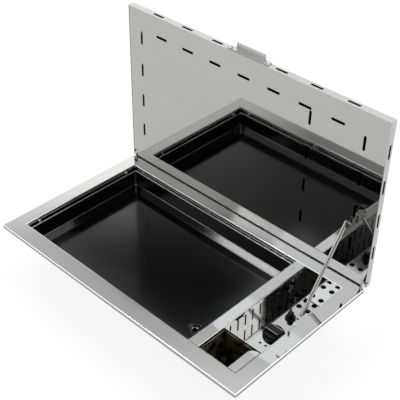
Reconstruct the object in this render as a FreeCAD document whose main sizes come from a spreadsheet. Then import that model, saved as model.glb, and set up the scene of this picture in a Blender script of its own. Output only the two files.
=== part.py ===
import FreeCAD, Part
import math
import os
import Sketcher

Vector = FreeCAD.Vector

# Built-in plancha. X runs along the long side, -Y is the user's side, +Z is up.
# The origin lies under the middle of the flange, on the bottom face of the base cover.
# The lid is modelled standing open.

# Driving dimensions in millimetres
dimensions = {
    # flange frame
    "frame_length": 620,
    "frame_depth": 350,
    "flange_height": 102,
    "frame_sheet": 1.5,
    "lip_drop": 8,
    "fold_drop": 9,
    "bend_radius": 1.8,
    "side_margin": 31,
    "front_margin": 35,
    "back_margin": 25,
    "bar_width": 23.5,
    "bar_set": 0.4,
    "well_width": 85,
    "gasket_width": 10,
    "gasket_inset": 4,
    "rivet_radius": 1.2,
    "rivet_head": 2.4,
    "rivet_spread": 44,
    "tab_front": 134,
    "tab_length": 32,
    "tab_reach": 5,
    # hotplate pan
    "pan_gap": 4,
    "pan_back_gap": 1.5,
    "pan_drop": 10,
    "pan_wall": 3,
    "pan_wall_depth": 46.5,
    "pan_bevel": 10.4,
    "pan_bevel_drop": 6,
    "hanger_width": 5,
    "hanger_top": 7,
    "hanger_length": 20,
    "hanger_long_share": 0.448,
    "hanger_short_share": 0.822,
    "drain_radius": 8,
    "drain_from_bar": 42.7,
    "drain_from_front": 60.6,
    # control well
    "well_sheet": 1.2,
    "well_drop": 44,
    "well_rim": 2,
    "well_front_from_edge": 66,
    "vent_radius": 5.5,
    "vent_pitch": 20,
    "vent_side": 12.5,
    "vent_back": 15,
    "wall_slot_width": 4,
    "wall_slot_top": 10.5,
    "wall_slot_bottom": 38,
    "wall_slot_first": 17,
    "wall_slot_last": 28.5,
    "knob_side": 47.2,
    "knob_share": 0.3507,
    "button_side": 41.2,
    "button_share": 0.5907,
    # knob and button
    "knob_radius": 20.5,
    "knob_crown": 18,
    "knob_height": 15,
    "knob_skirt": 3,
    "knob_shoulder": 8.5,
    "knob_clearance": 0.8,
    "grip_width": 17,
    "inlay_width": 1.3,
    "inlay_height": 0.5,
    "shaft_radius": 3,
    "running_clearance": 0.05,
    "collar_radius": 10,
    "collar_height": 4,
    "button_radius": 6,
    "button_rise": 15,
    "button_travel": 4,
    # grease cup and chute
    "cup_drop": 4,
    "cup_sheet": 1.2,
    "cup_depth": 88,
    "cup_clearance": 2,
    "cup_taper_side": 22,
    "cup_taper_front": 28,
    "cup_taper_inner": 4,
    "cup_plate_width": 17,
    "cup_plate_round": 14,
    "chute_width": 26,
    "chute_height": 9,
    "chute_gap": 9,
    "chute_sheet": 1,
    # casing and base
    "casing_sheet": 1.2,
    "casing_gap": 2.5,
    "casing_straight": 54,
    "base_taper_side": 26,
    "base_taper_front": 32,
    "base_sheet": 2,
    "base_flange": 14,
    "screw_radius": 2,
    "screw_head": 3.8,
    # heating under the pan
    "element_radius": 3.5,
    "element_gap": 0.2,
    "element_edge": 26,
    "element_bend": 35,
    "clamp_width": 12,
    "clamp_sheet": 2,
    "stud_radius": 2.5,
    "nut_radius": 4.6,
    "nut_height": 4,
    "reflector_height": 11,
    "reflector_sheet": 1,
    "pad_inset": 16,
    "shield_sheet": 1,
    "shield_from_well": 13,
    # thermostat, switch and wiring
    "thermostat_side": 36,
    "thermostat_height": 22,
    "bulb_radius": 3,
    "bulb_length": 60,
    "bulb_share": 0.28,
    "capillary_radius": 1,
    "switch_radius": 9,
    "switch_length": 23,
    "block_length": 42,
    "block_width": 24,
    "block_height": 18,
    "wire_radius": 1.3,
    "gland_radius": 8,
    "gland_bore": 4,
    "gland_height": 30,
    # lid
    "lid_height": 353.5,
    "lid_lift": 1,
    "lid_depth": 15,
    "lid_sheet": 1,
    "lid_behind": 1.5,
    "liner_set": 0.5,
    "liner_gap": 1.3,
    "slot_length": 29,
    "slot_width": 5.5,
    "row_from_top": 41.5,
    "row_pitch": 71,
    "column_pitch": 71.4,
    "column_first": 80.7,
    "column_side": 40.4,
    "extra_column": 150.5,
    "slot_shift": 4.5,
    "edge_slot_first": 76.5,
    "edge_slot_pitch": 77.5,
    "handle_width": 68,
    "handle_rise": 13,
    "handle_sheet": 2,
    "handle_foot": 96,
    "handle_screw": 41,
    # hinge
    "hinge_behind": 7,
    "hinge_rise": 7,
    "pin_radius": 3,
    "lug_radius": 7,
    "lug_sheet": 3,
    "lug_inset": 6,
    "rail_sheet": 2,
    "rail_depth": 14.5,
    # stay
    "stay_inset": 15,
    "stay_radius": 3.6,
    "stay_pin_radius": 2.5,
    "stay_foot_back": 100.4,
    "stay_foot_drop": 18,
    "stay_tip_front": 25,
    "stay_tip_rise": 133.3,
    "track_depth": 6.5,
    "track_height": 10,
    "track_sheet": 1,
    "track_front": 136,
    "shoe_reach": 3.5,
    "shoe_front": 27,
    "shoe_back": 4,
    "bracket_width": 4.6,
    "bracket_sheet": 1.5,
    "notch_width": 8,
}


class Size:
    """A length: its number, and the text that ties it to the sheet."""

    def __init__(self, value, text):
        self.value = value
        self.text = text

    def mix(self, other, value, sign):
        return Size(value, "(" + self.text + " " + sign + " " + other.text + ")")

    def __add__(self, other):
        other = sized(other)
        return self.mix(other, self.value + other.value, "+")

    def __sub__(self, other):
        other = sized(other)
        return self.mix(other, self.value - other.value, "-")

    def __mul__(self, other):
        other = sized(other)
        return self.mix(other, self.value * other.value, "*")

    def __truediv__(self, other):
        other = sized(other)
        return self.mix(other, self.value / other.value, "/")

    def __radd__(self, other):
        return sized(other) + self

    def __rsub__(self, other):
        return sized(other) - self

    def __rmul__(self, other):
        return sized(other) * self

    def __neg__(self):
        return sized(0) - self


def sized(item):
    if isinstance(item, Size):
        return item
    return Size(float(item), "(" + repr(float(item)) + ")")


doc = FreeCAD.newDocument("plancha")
sheet = doc.addObject("Spreadsheet::Sheet", "Sizes")
for row, (word, number) in enumerate(dimensions.items(), start=1):
    cell = "A" + str(row)
    sheet.set(cell, str(number))
    sheet.setAlias(cell, word)
doc.recompute()


class Named:
    """Gives each driving dimension as a Size."""

    def __getattr__(self, word):
        return Size(float(dimensions[word]), "Sizes." + word)


d = Named()
parts = []


def keep(item, label):
    item.Label = label
    parts.append(item)
    return item


def bind(item, path, size):
    item.setExpression(path, sized(size).text)


# Solids by span

def block(name, x_span, y_span, z_span):
    item = doc.addObject("Part::Box", name)
    for axis, side, (low, high) in zip("xyz", ("Length", "Width", "Height"), (x_span, y_span, z_span)):
        bind(item, "Placement.Base." + axis, low)
        bind(item, side, sized(high) - low)
    return item


turns = {
    "x": FreeCAD.Rotation(Vector(0, 1, 0), 90),
    "y": FreeCAD.Rotation(Vector(1, 0, 0), -90),
    "z": FreeCAD.Rotation(),
}


def stand(item, axis, centre, low):
    item.Placement = FreeCAD.Placement(Vector(), turns[axis])
    places = list(centre)
    places.insert("xyz".index(axis), low)
    for letter, place in zip("xyz", places):
        bind(item, "Placement.Base." + letter, place)


def bar(name, axis, centre, span, radius):
    item = doc.addObject("Part::Cylinder", name)
    stand(item, axis, centre, span[0])
    bind(item, "Radius", radius)
    bind(item, "Height", sized(span[1]) - span[0])
    return item


def taper(name, axis, centre, span, low_radius, high_radius):
    item = doc.addObject("Part::Cone", name)
    stand(item, axis, centre, span[0])
    bind(item, "Radius1", low_radius)
    bind(item, "Radius2", high_radius)
    bind(item, "Height", sized(span[1]) - span[0])
    return item


def hopper(name, z_span, low_rect, high_rect):
    # four sloping sides between a low and a high rectangle, each given as x span and y span
    item = doc.addObject("Part::Wedge", name)
    item.Placement = FreeCAD.Placement(Vector(), FreeCAD.Rotation(Vector(1, 0, 0), 90))
    for tag, (x_span, y_span) in (("", low_rect), ("2", high_rect)):
        bind(item, "X" + tag + "min", x_span[0])
        bind(item, "X" + tag + "max", x_span[1])
        bind(item, "Z" + tag + "min", -sized(y_span[1]))
        bind(item, "Z" + tag + "max", -sized(y_span[0]))
    bind(item, "Ymin", z_span[0])
    bind(item, "Ymax", z_span[1])
    return item


def joined(name, items):
    item = doc.addObject("Part::MultiFuse", name)
    item.Shapes = items
    return item


def cut(name, base, tools):
    tool = tools[0] if len(tools) == 1 else joined(name + "_tools", tools)
    item = doc.addObject("Part::Cut", name)
    item.Base = base
    item.Tool = tool
    return item


def group(name, items):
    item = doc.addObject("Part::Compound", name)
    item.Links = items
    return item


def slot_cutter(name, run, through, centre, length, width, span):
    # a round-ended slot: run is the axis along it, through the axis it is cut along
    across = next(axis for axis in "xyz" if axis not in (run, through))
    middle = dict(zip([axis for axis in "xyz" if axis != through], centre))
    reach = (sized(length) - width) / 2
    spans = {
        run: (middle[run] - reach, middle[run] + reach),
        across: (middle[across] - sized(width) / 2, middle[across] + sized(width) / 2),
        through: span,
    }
    pieces = [block(name + "_mid", spans["x"], spans["y"], spans["z"])]
    for end, sign in (("low", -1), ("high", 1)):
        spot = dict(middle)
        spot[run] = middle[run] + sign * reach
        place = [spot[axis] for axis in "xyz" if axis != through]
        pieces.append(bar(name + "_" + end, through, place, span, sized(width) / 2))
    return joined(name, pieces)


def screw(name, axis, centre, face, sign, head, head_height, shank, length):
    # head stands off the face on the sign's side, the shank goes the other way
    face = sized(face)
    if sign > 0:
        top = taper(name + "_head", axis, centre, (face, face + head_height), head, sized(head) * 0.7)
        stem = bar(name + "_stem", axis, centre, (face - length, face), shank)
    else:
        top = taper(name + "_head", axis, centre, (face - head_height, face), sized(head) * 0.7, head)
        stem = bar(name + "_stem", axis, centre, (face, face + length), shank)
    return joined(name, [top, stem])


# Sketched bodies

def plane_of(body, role):
    return next(item for item in body.Origin.OriginFeatures if item.Role == role)


def sketch_on(body, name, role, offset):
    sketch = body.newObject("Sketcher::SketchObject", name)
    sketch.AttachmentSupport = [(plane_of(body, role), "")]
    sketch.MapMode = "FlatFace"
    bind(sketch, "AttachmentOffset.Base.z", offset)
    return sketch


def tie(sketch, geometry, point, place):
    for kind, axis, size in (("DistanceX", -2, place[0]), ("DistanceY", -1, place[1])):
        size = sized(size)
        if abs(size.value) < 1e-9:
            sketch.addConstraint(Sketcher.Constraint("PointOnObject", geometry, point, axis))
            continue
        index = sketch.addConstraint(Sketcher.Constraint(kind, -1, 1, geometry, point, size.value))
        sketch.setExpression("Constraints[" + str(index) + "]", size.text)


def outline(sketch, points):
    first = sketch.GeometryCount
    places = [(sized(a), sized(b)) for a, b in points]
    flat = [Vector(a.value, b.value, 0) for a, b in places]
    count = len(flat)
    for i in range(count):
        sketch.addGeometry(Part.LineSegment(flat[i], flat[(i + 1) % count]))
    for i in range(count):
        following = first + (i + 1) % count
        sketch.addConstraint(Sketcher.Constraint("Coincident", first + i, 2, following, 1))
    for i in range(count):
        tie(sketch, first + i, 1, places[i])


def rectangle(sketch, a_span, b_span):
    corners = [(a_span[0], b_span[0]), (a_span[1], b_span[0]), (a_span[1], b_span[1]), (a_span[0], b_span[1])]
    outline(sketch, corners)


def circle(sketch, centre, radius):
    radius = sized(radius)
    spot = Vector(sized(centre[0]).value, sized(centre[1]).value, 0)
    geometry = sketch.addGeometry(Part.Circle(spot, Vector(0, 0, 1), radius.value))
    index = sketch.addConstraint(Sketcher.Constraint("Radius", geometry, radius.value))
    sketch.setExpression("Constraints[" + str(index) + "]", radius.text)
    tie(sketch, geometry, 3, centre)


def slot_outline(sketch, centre, length, width, upright):
    radius = sized(width) / 2
    reach = (sized(length) - width) / 2
    ends = []
    for sign in (-1, 1):
        shift = (0, sign * reach) if upright else (sign * reach, 0)
        ends.append((sized(centre[0]) + shift[0], sized(centre[1]) + shift[1]))
    turn = math.pi / 2 if upright else 0
    arcs = []
    for (a, b), start in zip(ends, (math.pi / 2 + turn, -math.pi / 2 + turn)):
        ring = Part.Circle(Vector(a.value, b.value, 0), Vector(0, 0, 1), radius.value)
        arcs.append(sketch.addGeometry(Part.ArcOfCircle(ring, start, start + math.pi)))
    sides = []
    for tail, head in ((0, 1), (1, 0)):
        start = sketch.getPoint(arcs[tail], 2)
        end = sketch.getPoint(arcs[head], 1)
        sides.append(sketch.addGeometry(Part.LineSegment(start, end)))
    for tail, head, side in ((0, 1, sides[0]), (1, 0, sides[1])):
        sketch.addConstraint(Sketcher.Constraint("Tangent", arcs[tail], 2, side, 1))
        sketch.addConstraint(Sketcher.Constraint("Tangent", side, 2, arcs[head], 1))
    sketch.addConstraint(Sketcher.Constraint("Equal", arcs[0], arcs[1]))
    index = sketch.addConstraint(Sketcher.Constraint("Radius", arcs[0], radius.value))
    sketch.setExpression("Constraints[" + str(index) + "]", radius.text)
    for arc, place in zip(arcs, ends):
        tie(sketch, arc, 3, place)


def extrude(body, kind, sketch, length, reverse=False):
    feature = body.newObject("PartDesign::" + kind, sketch.Name + "_" + kind.lower())
    feature.Profile = sketch
    feature.Reversed = reverse
    bind(feature, "Length", length)
    sketch.Visibility = False
    return feature


def repeat(body, feature, axis_sketch, axis, count, pitch):
    pattern = body.newObject("PartDesign::LinearPattern", feature.Name + "_row")
    pattern.Originals = [feature]
    pattern.Direction = (axis_sketch, [axis])
    pattern.Occurrences = count
    bind(pattern, "Length", sized(pitch) * (count - 1))
    body.Tip = pattern
    return pattern


def turned(label, points, placement=None):
    # a lathe piece: half profile as radius and height, spun about its own axis
    body = doc.addObject("PartDesign::Body", label)
    sketch = sketch_on(body, label + "_profile", "XZ_Plane", 0)
    outline(sketch, points)
    feature = body.newObject("PartDesign::Revolution", label + "_spin")
    feature.Profile = sketch
    feature.ReferenceAxis = (sketch, ["V_Axis"])
    feature.Angle = 360
    return body


def place(item, centre, axis="z"):
    item.Placement = FreeCAD.Placement(Vector(), turns[axis])
    for letter, size in zip("xyz", centre):
        bind(item, "Placement.Base." + letter, size)


def soften(body, test, radius):
    # rounds the edges of the body's tip that pass the test
    doc.recompute()
    base = body.Tip
    names = []
    for index, edge in enumerate(base.Shape.Edges, start=1):
        if test(edge.BoundBox):
            names.append("Edge" + str(index))
    feature = body.newObject("PartDesign::Fillet", body.Name + "_round_" + str(len(body.Group)))
    feature.Base = (base, names)
    bind(feature, "Radius", radius)
    return feature


def routed(points, radius, bend):
    # a round wire along straight runs joined by tangent arcs
    spots = [Vector(*(sized(value).value for value in point)) for point in points]
    edges = []
    start = spots[0]
    for before, corner, after in zip(spots, spots[1:], spots[2:]):
        back = (before - corner).normalize()
        ahead = (after - corner).normalize()
        half = back.getAngle(ahead) / 2
        trim = bend / math.tan(half)
        arc_start = corner + back * trim
        arc_end = corner + ahead * trim
        inward = (back + ahead).normalize()
        middle = corner + inward * (bend / math.sin(half) - bend)
        edges.append(Part.LineSegment(start, arc_start).toShape())
        edges.append(Part.Arc(arc_start, middle, arc_end).toShape())
        start = arc_end
    edges.append(Part.LineSegment(start, spots[-1]).toShape())
    path = Part.Wire(edges)
    disc = Part.Wire(Part.makeCircle(sized(radius).value, spots[0], spots[1] - spots[0]))
    return path.makePipeShell([disc], True, False)


def shaped(name, shape):
    item = doc.addObject("Part::Feature", name)
    item.Shape = shape
    return item


# Places worked out from the driving dimensions
top = d.flange_height
half_length = d.frame_length / 2
half_depth = d.frame_depth / 2
open_left = d.side_margin - half_length
open_right = half_length - d.side_margin
open_front = d.front_margin - half_depth
open_back = half_depth - d.back_margin
well_left = open_right - d.well_width
bar_left = well_left - d.bar_width
pan_x = (open_left + d.pan_gap, bar_left - d.pan_gap)
pan_y = (open_front + d.pan_gap, open_back - d.pan_back_gap)
pan_floor = top - d.pan_wall_depth - d.pan_bevel_drop
pan_under = pan_floor - d.pan_wall
drain_spot = (bar_left - d.drain_from_bar, open_front + d.drain_from_front)
well_x = (well_left - d.frame_sheet, open_right + d.frame_sheet)
well_y = (open_front + d.well_front_from_edge, open_back + d.frame_sheet)
well_floor = top - d.well_drop
well_under = well_floor - d.well_sheet
well_length = well_y[1] - well_y[0]
knob_spot = (well_left + d.knob_side, well_y[0] + well_length * d.knob_share)
button_spot = (well_left + d.button_side, well_y[0] + well_length * d.button_share)
casing_x = (open_left - d.casing_gap - d.frame_sheet, open_right + d.casing_gap + d.frame_sheet)
casing_y = (open_front - d.casing_gap - d.frame_sheet, open_back + d.casing_gap + d.frame_sheet)
casing_break = top - d.casing_straight
base_x = (casing_x[0] + d.base_taper_side, casing_x[1] - d.base_taper_side)
base_y = (casing_y[0] + d.base_taper_front, casing_y[1])
lid_front = half_depth + d.lid_behind
lid_back = lid_front + d.lid_depth
lid_bottom = top + d.lid_lift
lid_top = lid_bottom + d.lid_height
liner_y = (lid_front + d.liner_set, lid_front + d.liner_set + d.lid_sheet)
lid_rivet_heights = (lid_bottom + 28, lid_top - 14)
hinge_y = half_depth + d.hinge_behind
hinge_z = top + d.hinge_rise
stay_x = open_right - d.stay_inset
foot_y = open_back - d.stay_foot_back
foot_z = top - d.stay_foot_drop
tip_y = hinge_y - d.stay_tip_front
tip_z = hinge_z + d.stay_tip_rise


lip_middle = top - d.lip_drop / 2
rivet_lines = (-d.rivet_spread, d.rivet_spread)
lug_x = half_length - d.lug_inset
lug_screw_lines = [side * (lug_x - gap) for side in (-1, 1) for gap in (7.5, 15.5)]


def inset(span, low, high=None):
    return (span[0] + low, span[1] - (low if high is None else high))


def level(edge_box, height, size=1e-4):
    return abs(edge_box.ZMin - height) < size and abs(edge_box.ZMax - height) < size


# Flange frame: a sheet folded down all round and round its opening, with a small tab over the stay's foot
def top_frame():
    body = doc.addObject("PartDesign::Body", "top_frame")
    lip_end = top - d.lip_drop
    plate = sketch_on(body, "frame_plate", "XY_Plane", lip_end)
    rectangle(plate, (-half_length, half_length), (-half_depth, half_depth))
    extrude(body, "Pad", plate, d.lip_drop)
    hollow = sketch_on(body, "frame_hollow", "XY_Plane", lip_end)
    inside = (d.frame_sheet - half_length, half_length - d.frame_sheet)
    rectangle(hollow, inside, (d.frame_sheet - half_depth, half_depth - d.frame_sheet))
    extrude(body, "Pocket", hollow, d.lip_drop - d.frame_sheet, True)
    fold = sketch_on(body, "frame_fold", "XY_Plane", top - d.fold_drop)
    rectangle(fold, inset((open_left, open_right), -d.frame_sheet), inset((open_front, open_back), -d.frame_sheet))
    extrude(body, "Pad", fold, d.fold_drop - d.frame_sheet / 2)
    opening = sketch_on(body, "frame_opening", "XY_Plane", top)
    rectangle(opening, (open_left, open_right), (open_front, open_back))
    extrude(body, "Pocket", opening, d.fold_drop + d.frame_sheet)
    soften(body, lambda box: level(box, top.value), d.bend_radius)
    tab = sketch_on(body, "frame_tab", "XY_Plane", top - d.frame_sheet)
    tab_y = open_back - d.tab_front
    rectangle(tab, (open_right - d.tab_reach, open_right + d.bend_radius), (tab_y, tab_y + d.tab_length))
    extrude(body, "Pad", tab, d.frame_sheet)
    for tag, x in (("right", half_length), ("left", d.frame_sheet - half_length)):
        holes = sketch_on(body, "rivet_holes_" + tag, "YZ_Plane", x)
        for y in rivet_lines:
            circle(holes, (y, lip_middle), d.rivet_radius)
        extrude(body, "Pocket", holes, d.frame_sheet)
    holes = sketch_on(body, "lug_screw_holes", "XZ_Plane", d.frame_sheet - half_depth)
    for x in lug_screw_lines:
        circle(holes, (x, lip_middle), d.rivet_radius)
    extrude(body, "Pocket", holes, d.frame_sheet)
    keep(body, "top_frame")


# Divider bar: a channel laid across the opening between pan and well
def divider_bar():
    body = doc.addObject("PartDesign::Body", "divider_bar")
    crown = top - d.bar_set
    foot = top - d.fold_drop
    section = sketch_on(body, "bar_section", "XZ_Plane", -open_front)
    left, right, skin = bar_left, well_left, d.frame_sheet
    outline(section, [
        (left, foot), (left, crown), (right, crown), (right, foot),
        (right - skin, foot), (right - skin, crown - skin), (left + skin, crown - skin), (left + skin, foot),
    ])
    extrude(body, "Pad", section, open_back - open_front, True)
    long_edge = (open_back - open_front).value
    soften(body, lambda box: level(box, crown.value) and box.YLength > long_edge * 0.9, d.bend_radius)
    keep(body, "divider_bar")


# Soft strip under the flange that beds it on the worktop
def flange_gasket():
    reach = d.frame_sheet + d.gasket_inset
    outer_x = inset((-half_length, half_length), reach)
    outer_y = inset((-half_depth, half_depth), reach)
    height = (top - d.lip_drop, top - d.frame_sheet)
    ring = block("gasket_outer", outer_x, outer_y, height)
    gap = block("gasket_gap", inset(outer_x, d.gasket_width), inset(outer_y, d.gasket_width), height)
    keep(cut("flange_gasket", ring, [gap]), "flange_gasket")


# Rivets on the two short lips
def lip_rivets():
    rivets = []
    for side in (-1, 1):
        for tag, y in zip(("front", "back"), rivet_lines):
            name = "lip_rivet_" + tag + ("_right" if side > 0 else "_left")
            rivets.append(screw(name, "x", (y, lip_middle), side * half_length, side, d.rivet_head, 1.1,
                                d.rivet_radius, d.frame_sheet + 1))
    keep(group("lip_rivets", rivets), "lip_rivets")


# Hotplate pan: straight walls, a bevel all round and a flat floor
def hotplate_pan():
    rim = top - d.pan_drop
    corner = top - d.pan_wall_depth
    spread = d.pan_bevel + d.pan_wall
    outside = joined("pan_outside", [
        block("pan_wall_outside", pan_x, pan_y, (corner, rim)),
        hopper("pan_bevel_outside", (pan_under, corner),
               (inset(pan_x, spread), inset(pan_y, spread)), (pan_x, pan_y)),
    ])
    bowl_x = inset(pan_x, d.pan_wall)
    bowl_y = inset(pan_y, d.pan_wall)
    inside = joined("pan_inside", [
        block("pan_wall_inside", bowl_x, bowl_y, (corner, rim)),
        hopper("pan_bevel_inside", (pan_floor, corner),
               (inset(bowl_x, d.pan_bevel), inset(bowl_y, d.pan_bevel)), (bowl_x, bowl_y)),
        bar("pan_drain_hole", "z", drain_spot, (pan_under, pan_floor), d.drain_radius),
    ])
    keep(cut("hotplate_pan", outside, [inside]), "hotplate_pan")


# Hangers: straps in the air gap that carry the pan from the frame and the divider bar
def hotplate_hangers():
    straps = []
    height = (top - d.hanger_top - d.hanger_length, top - d.hanger_top)
    middle_x = (pan_x[0] + pan_x[1]) / 2
    middle_y = (pan_y[0] + pan_y[1]) / 2
    half = d.hanger_width / 2
    for step in (-1, 0, 1):
        x = middle_x + step * (pan_x[1] - pan_x[0]) * d.hanger_long_share
        for tag, span in (("front", (open_front, pan_y[0])), ("back", (pan_y[1], open_back))):
            straps.append(block("hanger_" + tag + str(step + 1), (x - half, x + half), span, height))
    for step in (-1, 1):
        y = middle_y + step * (pan_y[1] - pan_y[0]) * d.hanger_short_share / 2
        for tag, span in (("left", (open_left, pan_x[0])), ("right", (pan_x[1], bar_left))):
            straps.append(block("hanger_" + tag + str(step + 1), span, (y - half, y + half), height))
    keep(group("hotplate_hangers", straps), "hotplate_hangers")


# Drain: a flanged spout through the pan floor, held by a nut
def drain():
    bore = d.drain_radius - 1.6
    flange = d.drain_radius + 3
    reach = d.pan_wall + d.chute_gap
    spout = turned("drain_spout", [
        (bore, -reach), (d.drain_radius, -reach), (d.drain_radius, 0), (flange, 0), (flange, 0.6),
        (bore + 1, 1.4), (bore, 0.8),
    ])
    place(spout, (*drain_spot, pan_floor))
    keep(spout, "drain_spout")
    span = (pan_under - 3.5, pan_under)
    nut = bar("drain_nut_body", "z", drain_spot, span, d.drain_radius + 4)
    hole = bar("drain_nut_hole", "z", drain_spot, span, d.drain_radius)
    keep(cut("drain_nut", nut, [hole]), "drain_nut")


chute_top = pan_under - d.chute_gap + 1
chute_floor = chute_top - d.chute_height
cup_x = inset((well_left, open_right), d.cup_clearance)
cup_y = (open_front + d.cup_clearance, well_y[0] - d.well_sheet - d.cup_clearance)
cup_z = (top - d.cup_drop - d.cup_depth, top - d.cup_drop)
cup_low_x = inset(cup_x, d.cup_taper_inner, d.cup_taper_side)
cup_low_y = inset(cup_y, d.cup_taper_front, d.cup_taper_inner)


# Grease chute: an open trough from under the drain through the cup's wall
def grease_chute():
    half = d.chute_width / 2
    span_x = (drain_spot[0] - half, cup_low_x[0] + 6)
    span_y = (drain_spot[1] - half, drain_spot[1] + half)
    trough = block("chute_outside", span_x, span_y, (chute_floor, chute_top))
    hollow = block("chute_inside", (span_x[0] + d.chute_sheet, span_x[1]), inset(span_y, d.chute_sheet),
                   (chute_floor + d.chute_sheet, chute_top))
    keep(cut("grease_chute", trough, [hollow]), "grease_chute")


# Grease cup: a deep tapered box in front of the control well
def grease_cup():
    skin = d.cup_sheet
    shell = hopper("cup_outside", cup_z, (cup_low_x, cup_low_y), (cup_x, cup_y))
    hollow = hopper("cup_inside", (cup_z[0] + skin, cup_z[1]),
                    (inset(cup_low_x, skin), inset(cup_low_y, skin)), (inset(cup_x, skin), inset(cup_y, skin)))
    half = d.chute_width / 2 + 0.5
    window = block("cup_window", (cup_x[0] - 1, cup_low_x[0] + 8),
                   (drain_spot[1] - half, drain_spot[1] + half), (chute_floor - 0.5, chute_top + 1))
    keep(cut("grease_cup", shell, [hollow, window]), "grease_cup")
    body = doc.addObject("PartDesign::Body", "grease_cup_handle")
    plate = sketch_on(body, "cup_plate", "XY_Plane", cup_z[1])
    plate_x = (cup_x[1] - d.cup_plate_width, cup_x[1])
    rectangle(plate, plate_x, cup_y)
    extrude(body, "Pad", plate, d.cup_sheet)
    corner = (plate_x[0].value, cup_y[1].value)
    soften(body, lambda box: abs(box.XMin - corner[0]) + abs(box.YMin - corner[1]) + box.XLength < 1e-4,
           d.cup_plate_round)
    keep(body, "grease_cup_handle")
    stand_x = (cup_low_x[0] + 8, base_x[1] - d.base_flange - 1.5)
    stand_y = (base_y[0] + d.base_flange + 1.5, cup_low_y[1] - 6)
    stand_z = (d.base_sheet, cup_z[0])
    hat = block("stand_outside", stand_x, stand_y, stand_z)
    tunnel = block("stand_inside", inset(stand_x, 1.5), stand_y, (stand_z[0], stand_z[1] - 1.5))
    keep(cut("cup_support", hat, [tunnel]), "cup_support")


# Control well: a polished tray with slots towards the pan and vents in its floor
def control_well():
    skin = d.well_sheet
    outer_x = inset(well_x, -skin)
    outer_y = inset(well_y, -skin)
    rim = top - d.well_rim
    tray = block("well_outside", outer_x, outer_y, (well_under, rim))
    tools = [block("well_inside", well_x, well_y, (well_floor, rim))]
    for column in range(4):
        for line in range(3):
            spot = (well_left + d.vent_side + column * d.vent_pitch, open_back - d.vent_back - line * d.vent_pitch)
            tools.append(bar("vent_" + str(column) + str(line), "z", spot, (well_under, well_floor), d.vent_radius))
    slot_middle = top - (d.wall_slot_top + d.wall_slot_bottom) / 2
    slot_length = d.wall_slot_bottom - d.wall_slot_top
    slot_pitch = (well_length - d.wall_slot_first - d.wall_slot_last) / 9
    for step in range(10):
        y = well_y[0] + d.wall_slot_first + step * slot_pitch
        tools.append(slot_cutter("wall_slot_" + str(step), "z", "x", (y, slot_middle), slot_length,
                                 d.wall_slot_width, (outer_x[0], well_x[0])))
    for tag, span in (("left", (well_x[0], well_left)), ("right", (open_right, well_x[1]))):
        tools.append(block("fold_notch_" + tag, span, (outer_y[0], well_y[0]), (top - d.fold_drop, rim)))
    tools.append(block("fold_notch_back", (outer_x[0], well_x[0]), (open_back, outer_y[1]), (top - d.fold_drop, rim)))
    tools.append(bar("knob_hole", "z", knob_spot, (well_under, well_floor), 5.2))
    tools.append(bar("button_hole", "z", button_spot, (well_under, well_floor), 8.2))
    keep(cut("control_well", tray, tools), "control_well")


# Heat shield: the wall under the divider bar between the hot side and the controls
shield_x = (well_left - d.shield_from_well, well_left - d.shield_from_well + d.shield_sheet)
element_z = pan_under - d.element_gap - d.element_radius
element_lines = (pan_y[1] - d.element_edge - 10, (pan_y[0] + pan_y[1]) / 2 + 30)
element_front = pan_y[0] + d.element_edge
element_return = element_front + 2 * d.element_bend
bulb_line = element_lines[1] - (element_lines[1] - element_return) * d.bulb_share
capillary_z = well_under - 13


def heat_shield():
    body = doc.addObject("PartDesign::Body", "heat_shield")
    wall = sketch_on(body, "shield_wall", "YZ_Plane", shield_x[0])
    front = casing_y[0] + d.casing_sheet + 0.5
    low_front = base_y[0] + d.casing_sheet + 2.5
    back = casing_y[1] - d.casing_sheet - 0.5
    low = d.base_sheet + d.casing_sheet
    outline(wall, [
        (front, casing_break), (low_front, low), (back, low), (back, top - d.fold_drop - 1),
        (front, top - d.fold_drop - 1),
    ])
    extrude(body, "Pad", wall, d.shield_sheet)
    holes = sketch_on(body, "shield_holes", "YZ_Plane", shield_x[1])
    for y in element_lines:
        circle(holes, (y, element_z), d.element_radius + 2)
    circle(holes, (bulb_line, capillary_z), 4)
    half = d.chute_width / 2
    rectangle(holes, (drain_spot[1] - half, drain_spot[1] + half), (chute_floor, chute_top + 1))
    extrude(body, "Pocket", holes, d.shield_sheet)
    keep(body, "heat_shield")


# Heating element: one tube under the pan floor, both ends in the control side
def heating_element():
    left = pan_x[0] + d.element_edge + 4
    right = drain_spot[0] - 10
    back, inner = element_lines
    bend = d.element_bend.value
    ends = shield_x[1] + 14
    far = left + 2 * bend
    stops = (
        (ends, back), (left, back), (left, element_front), (right + bend, element_front),
        (right + bend, element_return), (far, element_return), (far, inner), (ends, inner),
    )
    points = [(x, y, element_z) for x, y in stops]
    bends = min(bend, (inner - element_return).value / 2) * 0.98
    keep(shaped("heating_element", routed(points, d.element_radius, bends)), "heating_element")
    bushes = []
    for tag, y in zip(("back", "inner"), element_lines):
        span = (shield_x[0] - 3, shield_x[1] + 5)
        collar = bar("bush_collar_" + tag, "x", (y, element_z), (shield_x[1], span[1]), d.element_radius + 4)
        neck = bar("bush_neck_" + tag, "x", (y, element_z), (span[0], shield_x[1]), d.element_radius + 2)
        hole = bar("bush_hole_" + tag, "x", (y, element_z), span, d.element_radius + d.running_clearance)
        bushes.append(cut("bush_" + tag, joined("bush_body_" + tag, [collar, neck]), [hole]))
    keep(group("element_bushes", bushes), "element_bushes")


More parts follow.
